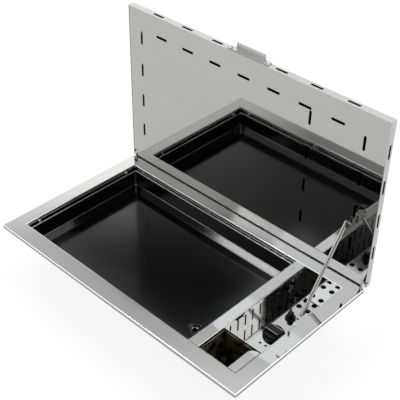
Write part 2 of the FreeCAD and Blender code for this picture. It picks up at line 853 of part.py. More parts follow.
# Clamp bars, studs and nuts that press the element to the pan
def element_clamps():
    high = element_z - d.element_radius - d.element_gap
    low = high - d.clamp_sheet
    bars, studs, nuts = [], [], []
    stud_lines = ((element_lines[0] + element_lines[1]) / 2, (element_lines[1] + element_return) / 2,
                  (element_front + element_return) / 2)
    for tag, share in (("left", 0.36), ("right", 0.72)):
        x = pan_x[0] + (pan_x[1] - pan_x[0]) * share
        strip = block("clamp_strip_" + tag, (x - d.clamp_width / 2, x + d.clamp_width / 2),
                      (element_front - 8, element_lines[0] + 8), (low, high))
        holes = []
        for step, y in enumerate(stud_lines):
            name = tag + str(step)
            holes.append(bar("clamp_hole_" + name, "z", (x, y), (low, high), d.stud_radius + 0.3))
            studs.append(bar("stud_" + name, "z", (x, y), (low - d.nut_height - 1, pan_under), d.stud_radius))
            nut = bar("nut_body_" + name, "z", (x, y), (low - d.nut_height, low), d.nut_radius)
            bore = bar("nut_bore_" + name, "z", (x, y), (low - d.nut_height, low), d.stud_radius)
            nuts.append(cut("nut_" + name, nut, [bore]))
        bars.append(cut("clamp_bar_" + tag, strip, holes))
    keep(group("element_clamps", bars), "element_clamps")
    keep(group("clamp_studs", studs), "clamp_studs")
    keep(group("clamp_nuts", nuts), "clamp_nuts")


# Reflector sheet on posts, with mineral wool under it
def reflector():
    sheet_x = (base_x[0] + 8, shield_x[0] - 16)
    sheet_y = (base_y[0] + 4, base_y[1] - 14)
    high = d.reflector_height + d.reflector_sheet
    keep(block("heat_reflector", sheet_x, sheet_y, (d.reflector_height, high)), "heat_reflector")
    posts = []
    reach = d.base_flange + 5
    for i, x in enumerate((base_x[0] + reach, sheet_x[1] - 9)):
        for j, y in enumerate(inset(base_y, reach)):
            posts.append(bar("post_" + str(i) + str(j), "z", (x, y), (d.base_sheet, d.reflector_height), 3))
    keep(group("reflector_posts", posts), "reflector_posts")
    wool = (inset(sheet_x, d.pad_inset), inset(sheet_y, d.pad_inset + 4))
    keep(block("insulation_pad", *wool, (d.base_sheet, d.reflector_height)), "insulation_pad")


screw_margin = d.base_flange / 2 + d.casing_sheet
corner_spots = [(x, y) for x in inset(base_x, screw_margin) for y in inset(base_y, screw_margin)]
middle_spots = [(base_x[0] + (base_x[1] - base_x[0]) * share, y)
                for share in (0.37, 0.63) for y in inset(base_y, screw_margin)]
screw_spots = corner_spots + middle_spots


# Casing: four folded panels, each with a straight wall, a slope to the base and a flange turned in under it
def casing_panel(name, wall, slope_top, slope_foot, flange, holes):
    low = d.base_sheet
    flange_z = (low, low + d.casing_sheet)
    panel = joined(name + "_fold", [
        block(name + "_wall", *wall, (casing_break, top - d.frame_sheet)),
        hopper(name + "_slope", (low, casing_break), slope_foot, slope_top),
        block(name + "_flange", *flange, flange_z),
    ])
    tools = [bar(name + "_hole_" + str(i), "z", spot, flange_z, d.screw_radius) for i, spot in enumerate(holes)]
    return panel, tools


def casing():
    skin = d.casing_sheet
    turn = d.base_flange
    sides = []
    for side, tag in ((0, "left"), (1, "right")):
        sign = 1 - 2 * side
        wall_x = sorted((casing_x[side], casing_x[side] + sign * skin), key=lambda size: size.value)
        foot_x = sorted((base_x[side], base_x[side] + sign * skin), key=lambda size: size.value)
        turn_x = sorted((base_x[side], base_x[side] + sign * turn), key=lambda size: size.value)
        spots = [spot for spot in corner_spots if spot[0].value * sign < 0]
        panel, tools = casing_panel("casing_" + tag, (wall_x, casing_y), (wall_x, casing_y), (foot_x, base_y),
                                    (turn_x, inset(base_y, skin)), spots)
        sides.append(cut("casing_panel_" + tag, panel, tools))
    keep(group("casing_sides", sides), "casing_sides")
    wall_x = inset(casing_x, skin)
    foot_x = inset(base_x, skin)
    turn_x = inset(base_x, turn)
    for side, tag in ((0, "front"), (1, "back")):
        sign = 1 - 2 * side
        wall_y = sorted((casing_y[side], casing_y[side] + sign * skin), key=lambda size: size.value)
        foot_y = sorted((base_y[side], base_y[side] + sign * skin), key=lambda size: size.value)
        turn_y = sorted((base_y[side], base_y[side] + sign * turn), key=lambda size: size.value)
        spots = [spot for spot in middle_spots if (spot[1] - (base_y[0] + base_y[1]) / 2).value * sign < 0]
        panel, tools = casing_panel("casing_" + tag, (wall_x, wall_y), (wall_x, wall_y), (foot_x, foot_y),
                                    (turn_x, turn_y), spots)
        if tag == "back":
            tools.append(bar("casing_gland_hole", "y", (gland_x, d.gland_height), wall_y, d.gland_radius))
        name = "casing_" + tag
        keep(cut(name + "_panel", panel, tools), name)


# Base cover and its countersunk screws
def base_cover():
    plate = block("cover_plate", base_x, base_y, (0, d.base_sheet))
    holes, screws = [], []
    fit = d.running_clearance
    for i, spot in enumerate(screw_spots):
        span = (0, d.base_sheet)
        holes.append(taper("sink_" + str(i), "z", spot, span, d.screw_head + fit, d.screw_radius + fit))
        head = taper("base_head_" + str(i), "z", spot, (0, d.base_sheet), d.screw_head, d.screw_radius)
        stem = bar("base_stem_" + str(i), "z", spot, (d.base_sheet, d.base_sheet + 5), d.screw_radius)
        screws.append(joined("base_screw_" + str(i), [head, stem]))
    keep(cut("base_cover", plate, holes), "base_cover")
    keep(group("base_screws", screws), "base_screws")


# Hold-down brackets on the short sides, each with a screw that presses on the worktop from below
def hold_downs():
    arms, screws = [], []
    low = top - 26
    for side, wall in ((-1, casing_x[0]), (1, casing_x[1])):
        for tag, y in (("front", -70), ("back", 80)):
            name = tag + ("_right" if side > 0 else "_left")
            edges = sorted((wall, wall + side * 2, wall + side * 10), key=lambda size: size.value)
            plate_x = (edges[1], edges[2]) if side < 0 else (edges[0], edges[1])
            leg = block("hold_leg_" + name, plate_x, (sized(y) - 12, sized(y) + 12), (low, top - 10))
            arm = block("hold_arm_" + name, (edges[0], edges[2]), (sized(y) - 12, sized(y) + 12), (low, low + 2))
            spot = (wall + side * 5.5, y)
            hole = bar("hold_hole_" + name, "z", spot, (low, low + 2), 2)
            arms.append(cut("hold_down_" + name, joined("hold_shape_" + name, [leg, arm]), [hole]))
            stem = bar("hold_stem_" + name, "z", spot, (low - 5, top - 11), 2)
            head = bar("hold_head_" + name, "z", spot, (low - 9, low - 5), 3.6)
            screws.append(joined("hold_screw_" + name, [stem, head]))
    keep(group("hold_down_brackets", arms), "hold_down_brackets")
    keep(group("hold_down_screws", screws), "hold_down_screws")


# Thermostat: body under the well floor, threaded bush with nut, shaft, bulb and capillary
thermostat_y = inset((knob_spot[1], knob_spot[1]), -d.thermostat_side / 2)
thermostat_x = inset((knob_spot[0], knob_spot[0]), -d.thermostat_side / 2)
thermostat_z = (well_under - d.thermostat_height, well_under)
shaft_bore = d.shaft_radius + d.running_clearance


def thermostat():
    shell = block("thermostat_case", thermostat_x, thermostat_y, thermostat_z)
    bore = bar("thermostat_bore", "z", knob_spot, (thermostat_z[0] + 5, thermostat_z[1]), shaft_bore)
    keep(cut("thermostat_body", shell, [bore]), "thermostat_body")
    neck = bar("bush_thread", "z", knob_spot, (well_under, well_floor + 4), 5)
    nut = bar("bush_nut", "z", knob_spot, (well_floor, well_floor + 3), 8)
    hole = bar("bush_way", "z", knob_spot, (well_under, well_floor + 4), shaft_bore)
    keep(cut("thermostat_bush", joined("bush_outside", [neck, nut]), [hole]), "thermostat_bush")
    bulb_z = pan_under - 0.2 - d.bulb_radius
    bulb_start = pan_x[0] + (pan_x[1] - pan_x[0]) / 2
    bulb_span = (bulb_start, bulb_start + d.bulb_length)
    keep(bar("thermostat_bulb", "x", (bulb_line, bulb_z), bulb_span, d.bulb_radius), "thermostat_bulb")
    clip_x = (bulb_start + 20, bulb_start + 30)
    strap_y = inset((bulb_line, bulb_line), -d.bulb_radius - 2)
    strap = block("clip_outside", clip_x, strap_y, (bulb_z - d.bulb_radius - 1.5, pan_under))
    seat = block("clip_inside", clip_x, inset(strap_y, 1.7), (bulb_z - d.bulb_radius - 0.3, pan_under))
    keep(cut("bulb_clip", strap, [seat]), "bulb_clip")
    stops = ((bulb_span[1], bulb_z), (shield_x[0] - 22, bulb_z), (shield_x[0] - 5, capillary_z),
             (thermostat_x[0], capillary_z))
    route = [(x, bulb_line, z) for x, z in stops]
    keep(shaped("capillary_tube", routed(route, d.capillary_radius, 20)), "capillary_tube")


# Push switch: body under the floor, threaded neck through it, collar nut and spring
button_bore = d.button_radius + 0.2
switch_low = well_under - d.switch_length


def push_switch():
    pocket = switch_low + 6
    neck_top = well_floor + d.collar_height - 2
    core = joined("switch_outside", [
        bar("switch_case", "z", button_spot, (switch_low, well_under), d.switch_radius),
        bar("switch_neck", "z", button_spot, (well_under, neck_top), 8),
    ])
    keep(cut("switch_body", core, [bar("switch_bore", "z", button_spot, (pocket, neck_top), button_bore)]),
         "switch_body")
    lip = d.collar_height - 2
    collar = turned("switch_collar", [
        (8, 0), (d.collar_radius, 0), (d.collar_radius, d.collar_height - 1.5),
        (d.collar_radius - 1.5, d.collar_height), (button_bore, d.collar_height), (button_bore, lip), (8, lip),
    ])
    place(collar, (*button_spot, well_floor))
    keep(collar, "switch_collar")
    spring_z = (pocket, pocket + 4)
    coil = bar("spring_outside", "z", button_spot, spring_z, d.button_radius - 0.6)
    gap = bar("spring_inside", "z", button_spot, spring_z, d.button_radius - 1.8)
    keep(cut("button_spring", coil, [gap]), "button_spring")
    low = pocket + 4 + d.button_travel + 0.3 - well_floor
    dome = d.button_radius
    cap = turned("push_button", [
        (0, low), (dome, low), (dome, d.button_rise - 2.6), (dome - 0.8, d.button_rise - 1),
        (dome - 2.4, d.button_rise), (0, d.button_rise),
    ])
    place(cap, (*button_spot, well_floor))
    keep(cap, "push_button")


# Terminal block on the base cover, wires, and the cable gland in the back wall
gland_x = well_left + d.well_width / 2
block_x = (well_left + 20, well_left + 20 + d.block_width)
block_y = (open_back - 10 - d.block_length, open_back - 10)
block_top = d.base_sheet + d.block_height


def wiring():
    keep(block("terminal_block", block_x, block_y, (d.base_sheet, block_top)), "terminal_block")
    heads = []
    for i in range(4):
        y = block_y[0] + (i + 0.5) * d.block_length / 4
        heads.append(bar("terminal_screw_" + str(i), "z", (block_x[0] + d.block_width / 2, y),
                         (block_top, block_top + 1.5), 3))
    keep(group("terminal_screws", heads), "terminal_screws")
    ends = shield_x[1] + 14
    turn = ends + 9
    mid = d.base_sheet + d.block_height * 0.55
    line = button_spot[0]
    side = sized(thermostat_y[1]) - 8
    high = thermostat_z[0] + 6
    dip = element_z - 12
    routes = [
        [(ends, element_lines[0], element_z), (turn, element_lines[0], element_z),
         (turn, element_lines[0], mid), (block_x[0], element_lines[0], mid)],
        [(ends, element_lines[1], element_z), (turn, element_lines[1], element_z), (turn, element_lines[1], dip),
         (turn, side, dip), (turn, side, high), (thermostat_x[0], side, high)],
        [(line, button_spot[1] + d.switch_radius, switch_low + 4), (line, button_spot[1] + 20, switch_low + 4),
         (line, block_y[0] - 9, mid), (line, block_y[0], mid)],
    ]
    wires = [shaped("wire_" + str(i), routed(route, d.wire_radius, 3.5)) for i, route in enumerate(routes)]
    wires.append(bar("wire_switch", "y", (line, switch_low + 4), (thermostat_y[1], button_spot[1] - d.switch_radius),
                     d.wire_radius))
    keep(group("internal_wires", wires), "internal_wires")
    wall = casing_y[1]
    reach = d.casing_sheet + 9
    gland = turned("cable_gland", [
        (d.gland_bore, -reach), (d.gland_radius, -reach), (d.gland_radius, 0), (12, 0), (12, 4), (10.5, 4),
        (10.5, 11), (8, 14), (d.gland_bore, 14),
    ])
    place(gland, (gland_x, wall, d.gland_height), "y")
    keep(gland, "cable_gland")
    span = (wall - d.casing_sheet - 5, wall - d.casing_sheet)
    nut = bar("gland_nut_body", "y", (gland_x, d.gland_height), span, 12)
    hole = bar("gland_nut_hole", "y", (gland_x, d.gland_height), span, d.gland_radius)
    keep(cut("gland_nut", nut, [hole]), "gland_nut")


# Knob: skirt, tapered crown and a grip bar along X with two inlaid lines, hollow over the bush nut
def knob():
    z = well_floor + d.knob_clearance
    skirt = z + d.knob_skirt
    shoulder = z + d.knob_shoulder
    crown = z + d.knob_height
    hull = joined("knob_round", [
        bar("knob_base", "z", knob_spot, (z, skirt), d.knob_radius),
        taper("knob_cone", "z", knob_spot, (skirt, shoulder), d.knob_radius - 0.8, d.knob_crown),
    ])
    half = d.grip_width / 2
    grip_y = (knob_spot[1] - half, knob_spot[1] + half)
    grip = doc.addObject("Part::Common", "knob_grip")
    grip.Base = block("grip_bar", (knob_spot[0] - d.knob_crown, knob_spot[0] + d.knob_crown), grip_y,
                      (shoulder - 1, crown))
    grip.Tool = taper("grip_round", "z", knob_spot, (shoulder - 1, crown), d.knob_crown, d.knob_crown - 1.5)
    hollow = bar("knob_hollow", "z", knob_spot, (z, z + 7), 13)
    shaft_top = crown - 4
    bore = bar("knob_bore", "z", knob_spot, (z + 7, shaft_top), d.shaft_radius)
    grooves, inlays = [], []
    for tag, edge in (("front", grip_y[0] + 0.6), ("back", grip_y[1] - 0.6 - d.inlay_width)):
        span_x = (knob_spot[0] - d.knob_crown + 4.5, knob_spot[0] + d.knob_crown - 4.5)
        box = (span_x, (edge, edge + d.inlay_width), (crown - d.inlay_height, crown))
        grooves.append(block("groove_" + tag, *box))
        inlays.append(block("inlay_" + tag, *box))
    keep(cut("control_knob", joined("knob_hull", [hull, grip]), [hollow, bore, *grooves]), "control_knob")
    keep(group("knob_inlays", inlays), "knob_inlays")
    keep(bar("control_shaft", "z", knob_spot, (thermostat_z[0] + 6, shaft_top), d.shaft_radius), "control_shaft")


# Lid skin: a shallow tray, folded at the top and sides, with vent slots in the folds
def lid_skin():
    skin = d.lid_sheet
    span_x = (-half_length, half_length)
    tray = block("skin_outside", span_x, (lid_front, lid_back), (lid_bottom, lid_top))
    hollow = block("skin_inside", inset(span_x, skin), (lid_front, lid_back - skin), (lid_bottom, lid_top - skin))
    hem_x = inset(span_x, 20)
    hem = block("skin_hem", hem_x, (liner_y[1] + 0.7, lid_back - skin / 2), (lid_bottom + 1, lid_bottom + 1 + skin))
    tools = []
    middle = (lid_front + lid_back) / 2
    for step in range(4):
        z = top + d.column_first + step * d.column_pitch
        for side in (-1, 1):
            span = (-half_length, skin - half_length) if side < 0 else (half_length - skin, half_length)
            tools.append(slot_cutter("side_slot_" + str(step) + ("a" if side < 0 else "b"), "z", "x", (middle, z),
                                     d.slot_length, d.slot_width, span))
    for side in (-1, 1):
        for step in range(3):
            x = side * (d.edge_slot_first + step * d.edge_slot_pitch)
            tools.append(slot_cutter("edge_slot_" + str(step) + ("a" if side < 0 else "b"), "x", "z", (x, middle),
                                     d.slot_length - 2, d.slot_width, (lid_top - skin, lid_top)))
    tools.append(bar("skin_pin_holes", "x", (hinge_y, hinge_z), span_x, d.pin_radius + d.running_clearance))
    for i, z in enumerate(lid_rivet_heights):
        tools.append(bar("skin_rivet_holes_" + str(i), "x", (middle, z), span_x, d.rivet_radius))
    folded = joined("skin_folded", [cut("skin_tray", tray, [hollow]), hem])
    keep(cut("lid_outer_skin", folded, tools), "lid_outer_skin")


# Lid liner: a flat polished sheet with rows of slots, notched at the hinge
def lid_liner():
    body = doc.addObject("PartDesign::Body", "lid_inner_liner")
    side = half_length - d.liner_gap
    low = lid_bottom + 1.5
    high = lid_top - d.liner_gap
    notch = lug_x - d.lug_sheet - 1.2
    notch_top = hinge_z + d.lug_radius + 2
    face = sketch_on(body, "liner_face", "XZ_Plane", -liner_y[0])
    outline(face, [
        (-notch, low), (notch, low), (notch, notch_top), (side, notch_top), (side, high), (-side, high),
        (-side, notch_top), (-notch, notch_top),
    ])
    extrude(body, "Pad", face, d.lid_sheet, True)
    column_z = top + d.column_first
    row_z = lid_top - d.row_from_top
    rows = [("row", (-3 * d.row_pitch - d.slot_shift, row_z), False, 7, d.row_pitch)]
    column_x = half_length - d.column_side
    for tag, x in (("left", -column_x - d.slot_shift), ("extra", d.extra_column), ("right", column_x - d.slot_shift)):
        rows.append((tag, (x, column_z), True, 4, d.column_pitch))
    for tag, spot, upright, count, pitch in rows:
        mark = sketch_on(body, "liner_" + tag, "XZ_Plane", -liner_y[0])
        slot_outline(mark, spot, d.slot_length, d.slot_width, upright)
        pocket = extrude(body, "Pocket", mark, d.lid_sheet)
        doc.recompute()
        repeat(body, pocket, mark, "V_Axis" if upright else "H_Axis", count, pitch)
        doc.recompute()
    keep(body, "lid_inner_liner")
    tubes = []
    inner = (liner_y[1], lid_back - d.lid_sheet)
    for step, share in enumerate((0.33, 0.70)):
        z = lid_bottom + d.lid_height * share
        tube = block("stiffener_out_" + str(step), inset((-half_length, half_length), 60), inner, (z - 12, z + 12))
        way = block("stiffener_in_" + str(step), inset((-half_length, half_length), 60), inset(inner, 1),
                    (z - 11, z + 11))
        tubes.append(cut("stiffener_" + str(step), tube, [way]))
    keep(group("lid_stiffeners", tubes), "lid_stiffeners")


# Lid handle: a bent strip on the lid's top edge, with its screws, and the rivets of the side folds
def lid_handle():
    foot_x = (-d.handle_foot / 2, d.handle_foot / 2)
    foot_y = (lid_front + 3, lid_back)
    foot = block("handle_strip", foot_x, foot_y, (lid_top, lid_top + d.handle_sheet))
    tab_x = (-d.handle_width / 2, d.handle_width / 2)
    tab = block("handle_tab", tab_x, (lid_back - d.handle_sheet, lid_back), (lid_top, lid_top + d.handle_rise))
    spots = [(side * d.handle_screw, (lid_front + lid_back) / 2) for side in (-1, 1)]
    strip = joined("handle_shape", [foot, tab])
    face = lid_top + d.handle_sheet
    holes = [bar("handle_hole_" + str(i), "z", spot, (lid_top, face), 1.5) for i, spot in enumerate(spots)]
    keep(cut("lid_handle", strip, holes), "lid_handle")
    screws = [screw("handle_screw_" + str(i), "z", spot, face, 1, 3.2, 1.6, 1.5, d.handle_sheet)
              for i, spot in enumerate(spots)]
    keep(group("lid_handle_screws", screws), "lid_handle_screws")
    rivets = []
    for side in (-1, 1):
        for tag, z in zip(("low", "high"), lid_rivet_heights):
            name = "lid_rivet_" + tag + ("_right" if side > 0 else "_left")
            rivets.append(screw(name, "x", ((lid_front + lid_back) / 2, z), side * half_length, side, d.rivet_head, 1,
                                d.rivet_radius, d.lid_sheet + 1))
    keep(group("lid_rivets", rivets), "lid_rivets")


# Hinge: an angle rail along the frame's back lip that closes the gap under the lid, with a lug at each end
# and a headed pin through the lid's side fold
def hinge():
    pins, screws = [], []
    foot_z = (top - d.lip_drop, top)
    rail_x = (-lug_x, lug_x)
    foot_y = (half_depth, half_depth + d.rail_sheet)
    shelf_z = (lip_middle + d.rivet_head + 0.3, top)
    rail = [
        block("rail_foot", rail_x, foot_y, foot_z),
        block("rail_shelf", rail_x, (half_depth, half_depth + d.rail_depth), shelf_z),
    ]
    holes = [bar("rail_screw_hole_" + str(i), "y", (x, lip_middle), foot_y, d.rivet_radius)
             for i, x in enumerate(lug_screw_lines)]
    for side in (-1, 1):
        tag = "right" if side > 0 else "left"
        outer = side * lug_x
        inner = outer - side * d.lug_sheet
        plate = (inner, outer) if side > 0 else (outer, inner)
        rail.append(block("lug_leg_" + tag, plate, (half_depth, hinge_y + 2), (foot_z[0], hinge_z)))
        rail.append(bar("lug_eye_" + tag, "x", (hinge_y, hinge_z), plate, d.lug_radius))
        holes.append(bar("lug_hole_" + tag, "x", (hinge_y, hinge_z), plate, d.pin_radius))
        tail = inner - side * 1
        head = side * (half_length + 0.4)
        cap = head + side * 1.6
        stem = bar("pin_stem_" + tag, "x", (hinge_y, hinge_z), (tail, head) if side > 0 else (head, tail), d.pin_radius)
        knob_end = bar("pin_head_" + tag, "x", (hinge_y, hinge_z), (head, cap) if side > 0 else (cap, head), 4.6)
        pins.append(joined("pin_" + tag, [stem, knob_end]))
    for i, x in enumerate(lug_screw_lines):
        screws.append(screw("lug_screw_" + str(i), "y", (x, lip_middle), foot_y[1], 1, d.rivet_head, 1.2,
                            d.rivet_radius, d.frame_sheet + 3.5))
    keep(cut("hinge_rail", joined("rail_shape", rail), holes), "hinge_rail")
    keep(group("hinge_pins", pins), "hinge_pins")
    keep(group("lug_screws", screws), "lug_screws")


# Stay: a track on the well's right wall, a sliding shoe, the rod and the notched bracket on the lid
def stay():
    track_x = (well_x[1] - d.track_depth, well_x[1])
    track_y = (open_back - d.track_front, open_back - 1)
    half = d.track_height / 2
    skin = d.track_sheet
    rail = block("track_outside", track_x, track_y, (foot_z - half, foot_z + half))
    channel = block("track_inside", (track_x[0], track_x[1] - skin), track_y,
                    (foot_z - half + skin, foot_z + half - skin))
    keep(cut("stay_track", rail, [channel]), "stay_track")
    slack = 0.3
    shoe_x = (track_x[0] - d.shoe_reach, track_x[1] - skin - slack)
    shoe = block("shoe_block", shoe_x, (foot_y - d.shoe_front, foot_y + d.shoe_back),
                 (foot_z - half + skin + slack, foot_z + half - skin - slack))
    pin_span = (stay_x - d.stay_radius - 0.5, shoe_x[0] + 5)
    seat = bar("shoe_bore", "x", (foot_y, foot_z), (shoe_x[0], pin_span[1]), d.stay_pin_radius)
    keep(cut("stay_shoe", shoe, [seat]), "stay_shoe")
    keep(bar("stay_pivot_pin", "x", (foot_y, foot_z), pin_span, d.stay_pin_radius), "stay_pivot_pin")

    foot = Vector(stay_x.value, foot_y.value, foot_z.value)
    tip = Vector(stay_x.value, tip_y.value, tip_z.value)
    radius = d.stay_radius.value
    reach = Vector(radius, 0, 0)
    along = Vector(1, 0, 0)
    rod = Part.makeCylinder(radius, (tip - foot).Length, foot, tip - foot)
    eye = Part.makeCylinder(radius * 1.9, radius * 2, foot - reach, along)
    bracket_x = (stay_x + d.stay_radius + 1, stay_x + d.stay_radius + 1 + d.bracket_width)
    arm_end = bracket_x[1].value + 0.5
    arm = Part.makeCylinder(d.stay_pin_radius.value, arm_end - stay_x.value, tip, along)
    knuckle = Part.makeSphere(radius, tip)
    way = Part.makeCylinder((d.stay_pin_radius + d.running_clearance).value, radius * 2, foot - reach, along)
    whole = rod.fuse([eye, arm, knuckle]).removeSplitter().cut(way)
    keep(shaped("stay_rod", whole), "stay_rod")

    base_y = (liner_y[0] - d.bracket_sheet, liner_y[0])
    cheek_y = (tip_y - 6.5, base_y[0])
    cheek_z = (tip_z - 8, tip_z + 10)
    pieces = [block("bracket_base", (bracket_x[0] - 2.5, bracket_x[1] + 2.5), base_y, cheek_z)]
    for tag, x in (("near", bracket_x[0]), ("far", bracket_x[1] - d.bracket_sheet)):
        pieces.append(block("bracket_cheek_" + tag, (x, x + d.bracket_sheet), cheek_y, cheek_z))
    notch_y = (tip_y - d.notch_width / 2, tip_y + d.notch_width / 2)
    tools = [
        block("bracket_notch", bracket_x, notch_y, (tip_z - d.stay_pin_radius - 0.4, cheek_z[1])),
        block("bracket_front_cut", bracket_x, (cheek_y[0], notch_y[1]), (tip_z + 5, cheek_z[1])),
    ]
    keep(cut("stay_bracket", joined("bracket_shape", pieces), tools), "stay_bracket")


for make in (top_frame, divider_bar, flange_gasket, lip_rivets, hotplate_pan, hotplate_hangers, drain, grease_chute,
             grease_cup, control_well, heat_shield, heating_element, element_clamps, reflector, casing, base_cover,
             hold_downs, thermostat, push_switch, wiring, knob, lid_skin, lid_liner, lid_handle, hinge, stay):
    make()
doc.recompute()

for item in doc.Objects:
    if "Invalid" in item.State or "Error" in item.State:
        raise RuntimeError(item.Name + " failed: " + str(item.State))
for item in parts:
    if item.Shape.isNull() or not item.Shape.isValid():
        raise RuntimeError(item.Label + " has no valid shape")

os.makedirs("parts", exist_ok=True)
for item in parts:
    item.Shape.exportStep("parts/" + item.Label + ".step")
    print(item.Label, len(item.Shape.Solids), round(item.Shape.Volume, 1))
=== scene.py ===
import math

import bpy
import numpy as np
from mathutils import Matrix, Vector


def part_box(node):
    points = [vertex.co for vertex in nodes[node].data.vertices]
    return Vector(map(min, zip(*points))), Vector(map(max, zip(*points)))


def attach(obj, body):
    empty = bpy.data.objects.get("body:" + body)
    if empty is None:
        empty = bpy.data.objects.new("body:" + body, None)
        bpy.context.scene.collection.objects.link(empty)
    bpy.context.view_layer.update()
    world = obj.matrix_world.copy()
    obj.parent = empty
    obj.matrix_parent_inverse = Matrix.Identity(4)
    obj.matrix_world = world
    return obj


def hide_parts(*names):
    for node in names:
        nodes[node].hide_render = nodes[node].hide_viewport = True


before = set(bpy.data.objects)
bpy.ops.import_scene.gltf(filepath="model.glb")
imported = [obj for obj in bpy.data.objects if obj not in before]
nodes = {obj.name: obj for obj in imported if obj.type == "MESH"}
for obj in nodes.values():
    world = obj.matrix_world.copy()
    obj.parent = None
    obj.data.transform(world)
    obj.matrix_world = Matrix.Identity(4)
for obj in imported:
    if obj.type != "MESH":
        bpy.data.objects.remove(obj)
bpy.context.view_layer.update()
scene = bpy.context.scene
print("frame loaded,", len(nodes), "nodes")


# shader maths: a wrapped socket, so that sums on values add their Math nodes

class Wire:
    def __init__(self, desk, socket):
        self.desk = desk
        self.socket = socket

    def __add__(self, other):
        return self.desk.sums("ADD", self, other)

    def __radd__(self, other):
        return self.desk.sums("ADD", other, self)

    def __sub__(self, other):
        return self.desk.sums("SUBTRACT", self, other)

    def __rsub__(self, other):
        return self.desk.sums("SUBTRACT", other, self)

    def __mul__(self, other):
        return self.desk.sums("MULTIPLY", self, other)

    def __rmul__(self, other):
        return self.desk.sums("MULTIPLY", other, self)

    def __gt__(self, other):
        return self.desk.sums("GREATER_THAN", self, other)

    def __pow__(self, other):
        return self.desk.sums("POWER", self, other)

    def __abs__(self):
        return self.desk.sums("ABSOLUTE", self)

    def most(self, other):
        return self.desk.sums("MAXIMUM", self, other)

    def soft(self, low, high):
        # 0 below low, 1 above high, smooth between
        node = self.desk.node("ShaderNodeMapRange", {"interpolation_type": "SMOOTHSTEP"},
                              {"Value": self, "From Min": low, "From Max": high})
        return Wire(self.desk, node.outputs["Result"])

    def band(self, rising, falling):
        # 1 between two soft edges
        return self.soft(*rising) * (1 - self.soft(*falling))


class Desk:
    # one node tree, a material's or the world's
    def __init__(self, holder):
        holder.use_nodes = True
        self.holder = holder
        self.tree = holder.node_tree
        self.tree.nodes.clear()
        self.places = self.node("ShaderNodeTexCoord")

    def node(self, kind, settings=None, sockets=None):
        node = self.tree.nodes.new(kind)
        for word, value in (settings or {}).items():
            setattr(node, word, value)
        for word, value in (sockets or {}).items():
            socket = node.inputs[word]
            if isinstance(value, Wire):
                self.tree.links.new(value.socket, socket)
            elif socket.type == "RGBA":
                socket.default_value = (*value, 1)
            else:
                socket.default_value = value
        return node

    def sums(self, operation, *values):
        node = self.node("ShaderNodeMath", {"operation": operation}, dict(enumerate(values)))
        return Wire(self, node.outputs[0])

    def spot(self, scale=(1, 1, 1)):
        # the piece's own coordinates, stretched
        base = Wire(self, self.places.outputs["Object"])
        node = self.node("ShaderNodeMapping", None, {"Vector": base, "Scale": scale})
        return Wire(self, node.outputs["Vector"])

    def axes(self, kind="Object"):
        node = self.node("ShaderNodeSeparateXYZ", None, {0: Wire(self, self.places.outputs[kind])})
        return [Wire(self, out) for out in node.outputs]

    def noise(self, where, scale, detail, rough):
        node = self.node("ShaderNodeTexNoise", None,
                         {"Vector": where, "Scale": scale, "Detail": detail, "Roughness": rough})
        return Wire(self, node.outputs["Fac"])

    def cells(self, where, scale, out):
        node = self.node("ShaderNodeTexVoronoi", None, {"Vector": where, "Scale": scale})
        return Wire(self, node.outputs[out])

    def tint(self, factor, low, high):
        # sockets 6 and 7 are the two colours, output 2 is the mixed one
        node = self.node("ShaderNodeMix", {"data_type": "RGBA"}, {"Factor": factor, 6: low, 7: high})
        return Wire(self, node.outputs[2])

    def bump(self, height, strength, depth):
        node = self.node("ShaderNodeBump", None, {"Height": height, "Strength": strength, "Distance": depth})
        return Wire(self, node.outputs["Normal"])

    def finish(self, **sockets):
        names = {word.replace("_", " ").title().replace("Ior", "IOR"): value for word, value in sockets.items()}
        shader = self.node("ShaderNodeBsdfPrincipled", None, names)
        self.node("ShaderNodeOutputMaterial", None, {"Surface": Wire(self, shader.outputs["BSDF"])})
        return self.holder


def newDesk(name):
    return Desk(bpy.data.materials.new(name))


def wear(material, *names):
    for name in names:
        nodes[name].data.materials.clear()
        nodes[name].data.materials.append(material)


# in every look, lines, smears and other noises are (scale, detail, roughness), an edge is where a mask
# begins and where it is full, and a bump is (strength, depth in metres)

# polished stainless sheet: fine lines along the rolling direction, faint smears

def polishedSheet(name, look):
    desk = newDesk(name)
    x, y, z = desk.axes()
    lines = desk.noise(desk.spot(look["grain"]), *look["lines"])
    if "crossGrain" in look:  # a frame, whose short sides are cut the other way and mitred at the corners
        crossLines = desk.noise(desk.spot(look["crossGrain"]), *look["lines"])
        side = (abs(x) - look["openX"]) - (abs(y - look["midY"]) - look["openY"]) > 0
        lines = lines + side * (crossLines - lines)
    smear = desk.noise(desk.spot(), *look["smear"]).soft(*look["smearEdge"])
    shade = lines.soft(*look["lineEdge"]) * look["lineShare"] + smear * look["smearShare"]
    colour = desk.tint(shade, look["dark"], look["light"])
    rough = look["rough"] + (lines - 0.5) * look["lineRough"] + smear * look["smearRough"]
    # a look with a lip paints shade on the outer lip and a highlight along the bends
    if "lip" in look:
        outer = (abs(x) > look["lipX"]).most(abs(y) > look["lipY"])
        below = 1 - z.soft(*look["lipEdge"])
        colour = desk.tint(below * outer, colour, look["lip"])  # painted shade: the outer lip is coloured darker, to dim what it reflects
        # painted highlight: a pale band of colour along the bends, at the top of the lip and round the opening
        bend = (1 - z.soft(*look["bendHighlightEdge"])) * (1 - below)
        colour = desk.tint(bend, colour, look["bend"])
    return desk.finish(base_color=colour, metallic=1.0, roughness=rough, normal=desk.bump(lines, *look["bump"]))


